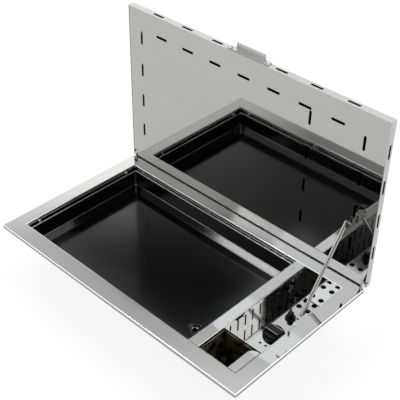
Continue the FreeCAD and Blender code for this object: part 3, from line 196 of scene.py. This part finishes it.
sheetLook = {"lines": (1.0, 2.0, 0.5), "lineEdge": (0.3, 0.7), "lineShare": 0.6, "smearEdge": (0.42, 0.75),
             "smearShare": 0.4}
flangeLook = {**sheetLook, "grain": (900, 4, 900), "smear": (9.0, 4.0, 0.6), "dark": (0.57, 0.572, 0.565),
              "light": (0.61, 0.61, 0.60), "rough": 0.04, "lineRough": 0.03, "smearRough": 0.03,
              "bump": (0.015, 0.0001)}
# lip is a painted shade colour for the outer lip; bend is a painted highlight colour for the bends
frameLook = {**flangeLook, "grain": (4, 900, 900), "crossGrain": (900, 4, 900), "openX": 0.279, "openY": 0.145,
             "midY": 0.005, "lipX": 0.309, "lipY": 0.174, "lipEdge": (0.1000, 0.1008),
             "bendHighlightEdge": (0.10185, 0.10195), "lip": (0.33, 0.33, 0.328), "bend": (0.92, 0.92, 0.915)}
linerLook = {**sheetLook, "grain": (3, 600, 600), "smear": (5.0, 4.0, 0.6), "dark": (0.420, 0.415, 0.405),
             "light": (0.450, 0.445, 0.433), "rough": 0.03, "lineRough": 0.02, "smearRough": 0.025,
             "bump": (0.006, 0.0001)}
wellLook = {**sheetLook, "grain": (600, 5, 600), "smear": (16.0, 4.0, 0.6), "dark": (0.54, 0.54, 0.535),
            "light": (0.62, 0.62, 0.61), "rough": 0.05, "lineRough": 0.03, "smearRough": 0.05,
            "bump": (0.02, 0.0001)}
skinLook = {**sheetLook, "grain": (3, 700, 700), "smear": (6.0, 4.0, 0.6), "dark": (0.43, 0.43, 0.428),
            "light": (0.55, 0.55, 0.545), "rough": 0.18, "lineRough": 0.10, "smearRough": 0.05,
            "bump": (0.05, 0.0001)}

wear(polishedSheet("polishedFlange", frameLook), "top_frame")
wear(polishedSheet("polishedBar", flangeLook), "divider_bar", "grease_cup_handle")
wear(polishedSheet("mirrorLiner", linerLook), "lid_inner_liner")
wear(polishedSheet("mirrorWell", wellLook), "control_well", "heat_reflector")
wear(polishedSheet("brushedSkin", skinLook), "lid_outer_skin", "lid_handle")
print("polished sheet done")


# black enamel: gloss coat with a slight ripple, tiny pale flecks

def enamel(name, look):
    desk = newDesk(name)
    where = desk.spot()
    z = desk.axes()[2]
    fleck = 1 - desk.cells(where, look["fleckScale"], "Distance").soft(*look["fleckEdge"])
    haze = desk.noise(where, *look["haze"]).soft(*look["hazeEdge"])
    colour = desk.tint(fleck * look["fleckShare"], desk.tint(haze, look["black"], look["grey"]), look["fleck"])
    used = 1 - z.soft(*look["floorEdge"])  # the scoured floor, duller than its walls
    rough = look["rough"] + used * look["floorRough"] + haze * look["hazeRough"]
    bare = 0
    for height, *edge in look["bareHighlightEdges"]:  # enamel worn through to bright steel on the two rounded edges, which also paints a highlight line along each
        bare = bare + (1 - abs(z - height).soft(*edge))
    colour = desk.tint(bare, colour, look["steel"])
    return desk.finish(base_color=colour, metallic=bare, roughness=rough, ior=look["ior"],
                       normal=desk.bump(desk.noise(where, *look["ripple"]), *look["bump"]))


panLook = {"ripple": (260.0, 2.0, 0.5), "fleckScale": 420.0, "fleckEdge": (0.06, 0.16), "fleckShare": 0.5,
           "haze": (7.0, 4.0, 0.6), "hazeEdge": (0.35, 0.75), "black": (0.0012, 0.0012, 0.0014),
           "grey": (0.0026, 0.0026, 0.003), "fleck": (0.008, 0.008, 0.009), "steel": (0.42, 0.42, 0.42),
           "bareHighlightEdges": ((0.0609, 0.00056, 0.00084), (0.0916, 0.00064, 0.00096)), "rough": 0.07,
           "floorEdge": (0.0533, 0.0539), "floorRough": 0.045, "hazeRough": 0.04, "ior": 1.58,
           "bump": (0.05, 0.0004)}
blackEnamel = enamel("blackEnamel", panLook)
wear(blackEnamel, "hotplate_pan")


# drain spout: black collar, bare bright bore

def spoutFinish(name, look):
    desk = newDesk(name)
    x, y, z = desk.axes()
    reach = ((x - look["at"][0]) ** 2.0 + (y - look["at"][1]) ** 2.0) ** 0.5
    bare = 1 - reach.soft(*look["boreEdge"])
    scuff = desk.noise(desk.spot(), *look["scuff"])
    colour = desk.tint(bare, look["black"], desk.tint(scuff, look["dark"], look["light"]))
    return desk.finish(base_color=colour, metallic=bare, roughness=look["rough"] + scuff * look["scuffRough"],
                       normal=desk.bump(scuff, *look["bump"]))


spoutLook = {"at": (0.1278, -0.0794), "boreEdge": (0.0068, 0.0072), "scuff": (500.0, 3.0, 0.6),
             "black": (0.004, 0.004, 0.004), "dark": (0.6, 0.6, 0.6), "light": (0.8, 0.8, 0.79), "rough": 0.12,
             "scuffRough": 0.15, "bump": (0.05, 0.0002)}
wear(spoutFinish("spoutFinish", spoutLook), "drain_spout")
print("enamel done")


# zinc plated steel: faint crystal patches

def plated(name, look):
    desk = newDesk(name)
    where = desk.spot()
    patch = desk.noise(desk.cells(where, look["crystalScale"], "Color"), *look["patch"])
    scuff = desk.noise(where, *look["scuff"])
    colour = desk.tint(patch, look["dark"], look["light"])
    rough = look["rough"] + (patch - 0.5) * look["patchRough"] + (scuff - 0.5) * look["scuffRough"]
    return desk.finish(base_color=colour, metallic=1.0, roughness=rough, normal=desk.bump(scuff, *look["bump"]))


platedLook = {"patch": (3.0, 1.0, 0.5), "scuff": (300.0, 3.0, 0.7), "patchRough": 0.2, "scuffRough": 0.1,
              "bump": (0.06, 0.0002)}
zincLook = {**platedLook, "crystalScale": 60.0, "dark": (0.36, 0.37, 0.39), "light": (0.58, 0.59, 0.61),
            "rough": 0.30}
wear(plated("zincPlate", zincLook), "casing_sides", "casing_front", "casing_back", "base_cover", "heat_shield",
     "hold_down_brackets", "cup_support", "reflector_posts", "lid_stiffeners", "element_clamps")
fixingLook = {**platedLook, "crystalScale": 500.0, "dark": (0.55, 0.55, 0.56), "light": (0.72, 0.72, 0.73),
              "rough": 0.22}
zincFixing = plated("zincFixing", fixingLook)
wear(zincFixing, "lip_rivets", "hotplate_hangers", "drain_nut", "clamp_studs", "clamp_nuts", "base_screws",
     "hold_down_screws", "thermostat_bush", "bulb_clip", "button_spring", "control_shaft", "lid_handle_screws",
     "lid_rivets", "hinge_rail", "hinge_pins", "lug_screws", "stay_track", "stay_pivot_pin")
print("plated steel done")


# drawn bar: bright steel with hair lines along its length

def drawnBar(name, look):
    desk = newDesk(name)
    lines = desk.noise(desk.spot(look["grain"]), *look["lines"])
    colour = desk.tint(lines, look["dark"], look["light"])
    return desk.finish(base_color=colour, metallic=1.0, roughness=look["rough"] + (lines - 0.5) * look["lineRough"],
                       normal=desk.bump(lines, *look["bump"]))


barLook = {"grain": (1500, 40, 40), "lines": (1.0, 2.0, 0.5), "lineRough": 0.12, "bump": (0.05, 0.0001)}
rodLook = {**barLook, "dark": (0.30, 0.29, 0.28), "light": (0.48, 0.47, 0.45), "rough": 0.1}
wear(drawnBar("drawnRod", rodLook), "stay_rod")
bracketLook = {**barLook, "dark": (0.10, 0.10, 0.10), "light": (0.20, 0.20, 0.19), "rough": 0.12}
wear(drawnBar("glossBracket", bracketLook), "stay_bracket")


# heat stained metal: a film in blotches over the dark or dull ground

def heatStained(name, look):
    desk = newDesk(name)
    blotch = desk.noise(desk.spot(), *look["blotch"])
    film = blotch.soft(*look["filmEdge"])
    colour = desk.tint(film, look["dark"], look["film"])
    return desk.finish(base_color=colour, metallic=look["metal"], roughness=look["rough"] + film * look["filmRough"],
                       normal=desk.bump(blotch, *look["bump"]))


stainLook = {"filmEdge": (0.35, 0.7), "filmRough": 0.2, "metal": 0.85}
cupLook = {**stainLook, "blotch": (60.0, 5.0, 0.65), "dark": (0.04, 0.032, 0.02), "film": (0.46, 0.39, 0.28),
           "rough": 0.26, "bump": (0.12, 0.003)}
wear(heatStained("stainedCup", cupLook), "grease_cup", "grease_chute")
tubeLook = {**stainLook, "blotch": (80.0, 5.0, 0.65), "dark": (0.05, 0.05, 0.05), "film": (0.12, 0.10, 0.09),
            "rough": 0.4, "bump": (0.12, 0.0006)}
wear(heatStained("oxideTube", tubeLook), "heating_element")
brassLook = {**stainLook, "blotch": (90.0, 5.0, 0.65), "dark": (0.50, 0.33, 0.13), "film": (0.66, 0.47, 0.22),
             "rough": 0.25, "bump": (0.12, 0.0003)}
wear(heatStained("dullBrass", brassLook), "thermostat_bulb", "capillary_tube", "terminal_screws")
print("drawn and stained metal done")


# moulded plastic, rubber, paint, ceramic and wool: fine grain, slightly shinier where it is rubbed

def moulded(name, look):
    desk = newDesk(name)
    where = desk.spot()
    grain = desk.noise(where, *look["grain"])
    rub = desk.noise(where, *look["rub"]).soft(*look["rubEdge"])
    colour = desk.tint(rub, look["dark"], look["light"])
    return desk.finish(base_color=colour, roughness=look["rough"] - rub * look["rubShine"],
                       specular_ior_level=look["specular"], normal=desk.bump(grain, *look["bump"]))


mouldLook = {"rub": (40.0, 3.0, 0.5), "rubEdge": (0.4, 0.7), "rubShine": 0.1, "specular": 0.5}
knobLook = {**mouldLook, "grain": (1800.0, 2.0, 0.5), "dark": (0.006, 0.006, 0.006), "light": (0.010, 0.010, 0.010),
            "rough": 0.34, "specular": 0.3, "bump": (0.08, 0.0003)}
knobPlastic = moulded("knobPlastic", knobLook)
wear(knobPlastic, "switch_collar", "switch_body", "push_button", "stay_shoe", "cable_gland", "gland_nut")
inlayLook = {**mouldLook, "grain": (900.0, 2.0, 0.5), "dark": (0.62, 0.62, 0.60), "light": (0.75, 0.75, 0.73),
             "rough": 0.4, "bump": (0.05, 0.0003)}
wear(moulded("inlayPaint", inlayLook), "knob_inlays")
paleLook = {**mouldLook, "grain": (1200.0, 2.0, 0.5), "dark": (0.62, 0.60, 0.54), "light": (0.70, 0.68, 0.62),
            "rough": 0.5, "bump": (0.1, 0.0003)}
wear(moulded("paleCeramic", paleLook), "thermostat_body", "terminal_block", "element_bushes")
gasketLook = {**mouldLook, "grain": (700.0, 2.0, 0.5), "dark": (0.020, 0.020, 0.021), "light": (0.035, 0.035, 0.036),
              "rough": 0.8, "bump": (0.3, 0.0003)}
wear(moulded("softStrip", gasketLook), "flange_gasket")
wireLook = {**mouldLook, "grain": (900.0, 2.0, 0.5), "dark": (0.30, 0.020, 0.015), "light": (0.42, 0.035, 0.03),
            "rough": 0.55, "bump": (0.1, 0.0003)}
wear(moulded("wireSleeve", wireLook), "internal_wires")
woolLook = {**mouldLook, "grain": (420.0, 2.0, 0.5), "dark": (0.52, 0.47, 0.33), "light": (0.66, 0.60, 0.45),
            "rough": 0.95, "bump": (0.9, 0.0003)}
wear(moulded("mineralWool", woolLook), "insulation_pad")
print("plastics done")


# pieces made here: grids of points over two parameters, each row closed on itself, in millimetres

perMetre = 1000


def gridPiece(name, grids, material, crease=40):
    points, faces, start = [], [], 0
    for grid in grids:
        rows, columns = grid.shape[:2]
        index = np.arange(rows * columns).reshape(rows, columns) + start
        near, far = index[:-1], index[1:]
        faces.append(np.stack([near, np.roll(near, -1, 1), np.roll(far, -1, 1), far], -1).reshape(-1, 4))
        points.append(grid.reshape(-1, 3))
        start += rows * columns
    mesh = bpy.data.meshes.new(name)
    mesh.from_pydata((np.concatenate(points) / perMetre).tolist(), [], np.concatenate(faces).tolist())
    mesh.polygons.foreach_set("use_smooth", np.ones(len(mesh.polygons), bool))
    mesh.set_sharp_from_angle(angle=math.radians(crease))
    mesh.materials.append(material)
    piece = bpy.data.objects.new(name, mesh)
    scene.collection.objects.link(piece)
    return piece


def turnOf(count):
    return np.linspace(0, 2 * np.pi, count, endpoint=False)


def squared(turn, power):
    # unit outline between a circle (power 1) and a square (power 0)
    c, s = np.cos(turn), np.sin(turn)
    return np.sign(c) * np.abs(c) ** power, np.sign(s) * np.abs(s) ** power


# pan: rows of rounded rectangles, each the pan's outline drawn in by its inset and set at its height;
# the last rows are circles round the drain, where the flat floor dips by an S-curve, 3 * ease^2 - 2 * ease^3
panShape = {"wallInset": 7.4, "cornerRadius": 4.0, "cornerSteps": 9, "cornerGap": 2.0, "arcSteps": 25,
            "rimRadius": 1.5, "lineHeight": 60.9, "beadRadius": 0.7, "bevelWide": 13.5, "bevelDrop": 8.5,
            "wallStep": (0.15, 1.0), "under": 46.5, "underInset": 27.4, "foot": ((3.0, 8.0), (0.0, 4.0)),
            "drainAt": (127.8, -79.4), "drainRadius": 8.0, "drainTop": 49.5, "sumpWide": 8.0, "sumpSteps": 7,
            "sumpLead": 1.1}


def panRows(shape):
    low, high = (np.array(corner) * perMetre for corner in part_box("hotplate_pan"))
    steps, gap = shape["cornerSteps"], shape["cornerGap"]
    quarter = np.concatenate([[0], np.linspace(0, 90, steps), [90]])
    corner = np.repeat(np.array([[1, 1], [-1, 1], [-1, -1], [1, -1]]), len(quarter), 0)
    angle = np.radians(np.concatenate([quarter + 90 * k for k in range(4)]))
    slide = np.tile([-gap] + [0.0] * steps + [gap], 4)[:, None]  # columns beside the corners keep the sides flat
    ring, tangent = np.stack([np.cos(angle), np.sin(angle)], -1), np.stack([-np.sin(angle), np.cos(angle)], -1)
    wall, line, bead, rim = (shape[word] for word in ("wallInset", "lineHeight", "beadRadius", "rimRadius"))
    top, floor = high[2], line - shape["bevelDrop"]
    lean, fall = shape["wallStep"]
    arc = np.linspace(0, np.pi, shape["arcSteps"])[1:]
    profile = [(shape["underInset"], shape["under"])]
    profile += [(inset, line - drop) for inset, drop in shape["foot"]] + [(0.0, top - rim)]
    profile += [(rim - rim * np.cos(t), top - rim + rim * np.sin(t)) for t in arc]
    profile += [(2 * rim + lean, top - rim - fall), (wall - lean, line + bead + fall), (wall, line + bead)]
    profile += [(wall + bead * np.sin(t), line + bead * np.cos(t)) for t in arc]
    rows = np.array(profile + [(wall + shape["bevelWide"], floor)])
    inset, height = rows[:, 0, None, None], rows[:, 1]
    half = (high[:2] - low[:2]) / 2 - inset
    bend = shape["cornerRadius"]
    flat = corner * (half - bend) + bend * ring + slide * tangent + (high[:2] + low[:2]) / 2
    drain = np.array(shape["drainAt"])
    spoke = flat[-1] - drain
    spoke = spoke / np.linalg.norm(spoke, axis=1)[:, None]
    ease = np.concatenate([[shape["sumpLead"]], np.linspace(1, 0, shape["sumpSteps"])])  # starts on the flat floor
    sump = drain + (shape["drainRadius"] + shape["sumpWide"] * ease)[:, None, None] * spoke
    flat = np.concatenate([flat, sump, [sump[-1], flat[0]]])
    ease = np.minimum(ease, 1)
    dip = shape["drainTop"] + (floor - shape["drainTop"]) * ease ** 2 * (3 - 2 * ease)
    height = np.concatenate([height, dip, [shape["under"], shape["under"]]])
    return np.concatenate([flat, np.broadcast_to(height[:, None, None], (*flat.shape[:2], 1))], -1)


panShell = gridPiece("panShell", [panRows(panShape)], blackEnamel, crease=12)
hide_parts("hotplate_pan")
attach(panShell, "root")

# knob: a turned profile whose cone is scalloped, radius = profile - depth * (1 - cos(flutes * angle)) / 2,
# and a grip with a squared section whose ends lie on a cone, x = +-sqrt(radius(z)^2 - y^2)
knobShape = {"at": (241.2, 5.08, 58.8), "flutes": 44, "perFlute": 8, "depth": 0.75,
             "profile": ((13.0, 0.0), (20.0, 0.0), (20.4, 0.3), (20.4, 2.7), (20.0, 3.0), (19.6, 3.0), (19.5, 3.3),
                         (19.1, 4.6), (18.7, 5.9), (18.3, 7.2), (18.0, 8.0), (17.5, 8.4), (16.5, 8.5), (0.01, 8.5)),
             "fluteWindow": (0, 0, 0, 0, 0, 0.4, 1, 1, 1, 1, 0.8, 0.3, 0, 0),
             "gripHalf": 8.5, "gripMiddle": 9.25, "gripRise": 5.6, "gripPower": 0.22, "gripReach": 17.8,
             "gripTaper": 1.4, "taperFrom": 7.5, "taperHigh": 7.5, "gripRing": 96, "gripLong": 41, "gripCap": 8,
             "gripTip": 0.02}


def knobBody(shape):
    turn = turnOf(shape["flutes"] * shape["perFlute"])
    profile = np.array(shape["profile"])
    window = np.array(shape["fluteWindow"])[:, None]
    scallop = shape["depth"] * (1 - np.cos(shape["flutes"] * turn)) / 2
    reach = profile[:, :1] - window * scallop
    height = np.broadcast_to(profile[:, 1:], reach.shape)
    return np.stack([reach * np.cos(turn), reach * np.sin(turn), height], -1) + shape["at"]


def knobGrip(shape):
    side, lift = squared(turnOf(shape["gripRing"]), shape["gripPower"])
    cap = np.linspace(shape["gripTip"], 1, shape["gripCap"])
    end = np.ones(shape["gripCap"])
    along = np.concatenate([-end, np.linspace(-1, 1, shape["gripLong"]), end])[:, None]
    shrink = np.concatenate([cap, np.ones(shape["gripLong"]), cap[::-1]])[:, None]
    y = shrink * side * shape["gripHalf"]
    z = shape["gripMiddle"] + shrink * lift * shape["gripRise"]
    cone = shape["gripReach"] - shape["gripTaper"] * np.clip((z - shape["taperFrom"]) / shape["taperHigh"], 0, 1)
    x = along * np.sqrt(cone ** 2 - y ** 2)
    return np.stack([x, y, z], -1) + shape["at"]


flutedKnob = gridPiece("flutedKnob", [knobBody(knobShape), knobGrip(knobShape)], knobPlastic)
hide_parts("control_knob")
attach(flutedKnob, "knob")

# pad: a low mound on a squared outline, height = rise * (1 - distance^4)
padShape = {"rows": 6, "columns": 32, "tip": 0.01}


def pad(at, size, rise, corner, face="z"):
    outX, outY = squared(turnOf(padShape["columns"]), corner)
    reach = np.linspace(1, padShape["tip"], padShape["rows"])[:, None]
    flat = [reach * outX * size[0], reach * outY * size[1]]
    rise = np.broadcast_to(rise * (1 - reach ** 4), flat[0].shape)
    order = [flat[0], rise, flat[1]] if face == "y" else [flat[0], flat[1], rise]
    return np.stack(order, -1) + at


# dial marks: three round dots on the floor of the well, about the knob
dialMarks = {"spots": ((214.4, 3.5), (236.4, -26.3), (248.3, -25.0)), "half": (2.6, 2.6), "rise": 0.3,
             "floor": 58.02, "corner": 1.0}
dots = [pad((*spot, dialMarks["floor"]), dialMarks["half"], dialMarks["rise"], dialMarks["corner"])
        for spot in dialMarks["spots"]]
wellMarks = gridPiece("wellMarks", dots, knobPlastic)
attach(wellMarks, "root")

# hanger heads: domed ends of the straps that hold the pan, in a brighter copy of the plated finish, a painted
# highlight on each
headHighlightLook = {**platedLook, "crystalScale": 500.0, "dark": (0.80, 0.80, 0.80), "light": (0.92, 0.92, 0.92),
            "rough": 0.16}
hangerHeads = {"top": 95.0, "rise": 2.6, "corner": 1.0, "front": -138.0, "back": 149.25, "left": -277.0,
               "right": 168.5, "alongX": (-252.04, -54.25, 143.54), "alongY": (-110.7, 123.2),
               "half": {"front": (2.5, 2.0), "back": (2.5, 0.7), "left": (2.0, 2.5), "right": (2.0, 2.5)}}


def dome(x, y, side):
    return pad((x, y, hangerHeads["top"]), hangerHeads["half"][side], hangerHeads["rise"], hangerHeads["corner"])


domes = [dome(x, hangerHeads[side], side) for side in ("front", "back") for x in hangerHeads["alongX"]]
domes += [dome(hangerHeads[side], y, side) for side in ("left", "right") for y in hangerHeads["alongY"]]
strapHeads = gridPiece("strapHeads", domes, plated("paintedHighlightHeads", headHighlightLook))
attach(strapHeads, "root")

# drive recesses as painted shade: two crossed dark pads on each screw head
driveShadeLook = {**mouldLook, "grain": (900.0, 2.0, 0.5), "dark": (0.012, 0.012, 0.012), "light": (0.03, 0.03, 0.03),
             "rough": 0.6, "bump": (0.1, 0.0003)}
driveShadePaint = moulded("driveShadow", driveShadeLook)
driveShape = {"thin": 0.24, "rise": 0.08, "corner": 0.3}
screwHeads = [
    {"name": "handleDrives", "body": "lid", "face": "z", "size": 1.9,
     "spots": ((-41.0, 184.0, 460.12), (41.0, 184.0, 460.12))},
    {"name": "hingeDrives", "body": "root", "face": "y", "size": 1.5,
     "spots": [(x, 178.22, 98.0) for x in (-296.5, -288.5, 288.5, 296.5)]},
    {"name": "terminalDrives", "body": "root", "face": "z", "size": 2.1,
     "spots": [(226.0, 103.25 + 10.5 * step, 21.52) for step in range(4)]},
]
for head in screwHeads:
    long, short = head["size"], head["size"] * driveShape["thin"]
    crosses = [pad(spot, size, driveShape["rise"], driveShape["corner"], head["face"])
               for spot in head["spots"] for size in ((long, short), (short, long))]
    drives = gridPiece(head["name"], crosses, driveShadePaint)
    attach(drives, head["body"])

# spring: a round wire on a helix, centre = (coil cos t, coil sin t, pitch t), ring of wire radius about it
springShape = {"at": (235.2, 59.2, 39.8), "coil": 4.7, "wire": 0.55, "height": 4.0, "turns": 2.6, "steps": 180,
               "ring": 14}


def springGrid(shape):
    angle = np.linspace(0, 2 * np.pi * shape["turns"], shape["steps"])[:, None]
    ring = turnOf(shape["ring"])[None, :]
    wire = shape["wire"]
    reach = shape["coil"] + wire * np.cos(ring)
    climb = wire + (shape["height"] - 2 * wire) * angle / angle.max() + wire * np.sin(ring)
    return np.stack([reach * np.cos(angle), reach * np.sin(angle), climb], -1) + shape["at"]


buttonCoil = gridPiece("buttonCoil", [springGrid(springShape)], zincFixing)
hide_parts("button_spring")
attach(buttonCoil, "root")
print("made pieces done")


# stage: pale floor, soft light, the photo's camera

stageLook = {"half": 40.0, "cloud": (2.0, 2.0, 0.5), "dark": (0.30, 0.30, 0.30), "light": (0.34, 0.34, 0.338),
             "rough": 0.9, "tint": (1.0, 0.995, 0.985), "glow": 0.78}


def paleFloor(name, look):
    desk = newDesk(name)
    colour = desk.tint(desk.noise(desk.spot(), *look["cloud"]), look["dark"], look["light"])
    return desk.finish(base_color=colour, roughness=look["rough"], emission_color=look["tint"],
                       emission_strength=look["glow"])


half = stageLook["half"]
floorMesh = bpy.data.meshes.new("floor")
floorMesh.from_pydata([(-half, -half, 0), (half, -half, 0), (half, half, 0), (-half, half, 0)], [], [(0, 1, 2, 3)])
floor = bpy.data.objects.new("floor", floorMesh)
scene.collection.objects.link(floor)
floorMesh.materials.append(paleFloor("paleFloor", stageLook))

# studio round the part: pale behind, dim in front above head height; edges are on a unit direction
roomLook = {"tint": (1.0, 0.995, 0.985), "behindY": (-0.25, 0.15),
            "back": 0.62, "backLow": 0.62, "backLowZ": (0.57, 0.63), "backFade": 0.14, "backFadeZ": (0.58, 0.69),
            "backTop": 0.32, "backTopZ": (0.70, 0.76),
            "window": 1.0, "windowX": ((0.34, 0.42), (0.52, 0.60)), "windowZ": ((0.60, 0.66), (0.76, 0.82)),
            "cornerSlope": 0.357, "cornerEdge": (0.668, 0.69), "cornerX": (-0.56, -0.52),
            "dawn": 0.9, "dawnX": (-0.635, -0.615), "dawnZ": ((0.585, 0.60), (0.60, 0.63)),
            "dusk": 0.64, "duskZ": (0.595, 0.645),
            "front": 0.12, "frontLow": 0.42, "frontLowZ": (0.605, 0.635), "frontLeft": 0.40, "leftX": (-0.56, -0.48),
            "frontFloor": 0.40, "frontFloorZ": (0.545, 0.575), "frontRight": 0.7, "rightX": (-0.2, 0.3),
            "strip": 0.9, "stripZ": ((0.06, 0.14), (0.24, 0.32))}


def room(name, look):
    desk = Desk(bpy.data.worlds.new(name))
    x, y, z = desk.axes("Generated")
    back = (look["back"] + (1 - z.soft(*look["backLowZ"])) * look["backLow"]
            + (1 - z.soft(*look["backFadeZ"])) * look["backFade"] + z.soft(*look["backTopZ"]) * look["backTop"]
            + x.band(*look["windowX"]) * z.band(*look["windowZ"]) * look["window"])
    corner = (y - x * look["cornerSlope"]).soft(*look["cornerEdge"]) * (1 - x.soft(*look["cornerX"]))
    dawn = x.soft(*look["dawnX"]) * z.band(*look["dawnZ"]) * look["dawn"]
    back = back + corner * (dawn - z.soft(*look["duskZ"]) * look["dusk"])  # back left, bright below, dark above
    left = 1 - x.soft(*look["leftX"])
    low = (look["frontLow"] + left * look["frontLeft"]
           + left * (1 - z.soft(*look["frontFloorZ"])) * look["frontFloor"])
    front = look["front"] + (1 - z.soft(*look["frontLowZ"])) * low
    front = front * (1 - x.soft(*look["rightX"]) * look["frontRight"]) + z.band(*look["stripZ"]) * look["strip"]
    level = front + y.soft(*look["behindY"]) * (back - front)
    glow = desk.node("ShaderNodeBackground", None, {"Color": look["tint"], "Strength": level})
    desk.node("ShaderNodeOutputWorld", None, {"Surface": Wire(desk, glow.outputs["Background"])})
    return desk.holder


scene.world = room("studio", roomLook)

# soft boxes hung in one plane, each shifted across and up in it, and rolled
boxPlane = {"at": (-0.42, -0.95, 1.42), "aim": (0.1, 0.1, 0.2)}
softBoxes = [
    {"name": "skyLow", "shift": (-0.04, -0.05), "roll": 26, "size": (0.62, 0.40), "radiance": 1.9,
     "colour": (0.94, 0.975, 1.0)},
    {"name": "skyHigh", "shift": (-0.218, 0.31), "roll": 26, "size": (0.62, 0.40), "radiance": 2.5,
     "colour": (0.89, 0.955, 1.0)},
    {"name": "skyWing", "shift": (-0.375, -0.255), "roll": 18, "size": (0.24, 0.085), "radiance": 1.4,
     "colour": (0.98, 0.99, 1.0)},
    {"name": "keyStrip", "shift": (-0.645, 0.4226), "roll": 27, "size": (0.36, 0.09), "radiance": 12.0,
     "colour": (0.97, 0.985, 1.0)},
]


def rolled(first, second, roll):
    # two axes turned in their own plane
    return (math.cos(roll) * first + math.sin(roll) * second, math.cos(roll) * second - math.sin(roll) * first)


def placed(spot, axes):
    return Matrix.Translation(spot) @ Matrix(axes).transposed().to_4x4()


facing = (Vector(boxPlane["aim"]) - Vector(boxPlane["at"])).normalized()
across = facing.cross(Vector((0, 0, 1))).normalized()
upward = across.cross(facing)
for box in softBoxes:
    lamp = bpy.data.lights.new(box["name"], "AREA")
    lamp.shape = "RECTANGLE"
    lamp.size, lamp.size_y = box["size"]
    lamp.energy = box["radiance"] * math.pi * box["size"][0] * box["size"][1]
    lamp.color = box["colour"]
    wide, tall = rolled(across, upward, math.radians(box["roll"]))
    spot = Vector(boxPlane["at"]) + box["shift"][0] * across + box["shift"][1] * upward
    holder = bpy.data.objects.new(box["name"], lamp)
    holder.matrix_world = placed(spot, (wide, tall, -facing))
    scene.collection.objects.link(holder)

view = {"at": (0.9281, -0.91355, 1.20851), "azimuth": 43.54, "elevation": 36.805, "roll": 0.839, "lens": 80.82,
        "sensor": 36}
turn, rise, roll = (math.radians(view[word]) for word in ("azimuth", "elevation", "roll"))
back = Vector((math.sin(turn) * math.cos(rise), -math.cos(turn) * math.cos(rise), math.sin(rise)))
right = Vector((math.cos(turn), math.sin(turn), 0))
lens = bpy.data.cameras.new("photoCamera")
lens.sensor_width = view["sensor"]
lens.lens = view["lens"]
camera = bpy.data.objects.new("photoCamera", lens)
camera.matrix_world = placed(view["at"], (*rolled(right, back.cross(right), roll), back))
scene.collection.objects.link(camera)
scene.camera = camera
scene.view_settings.view_transform = "Standard"
print("stage done")
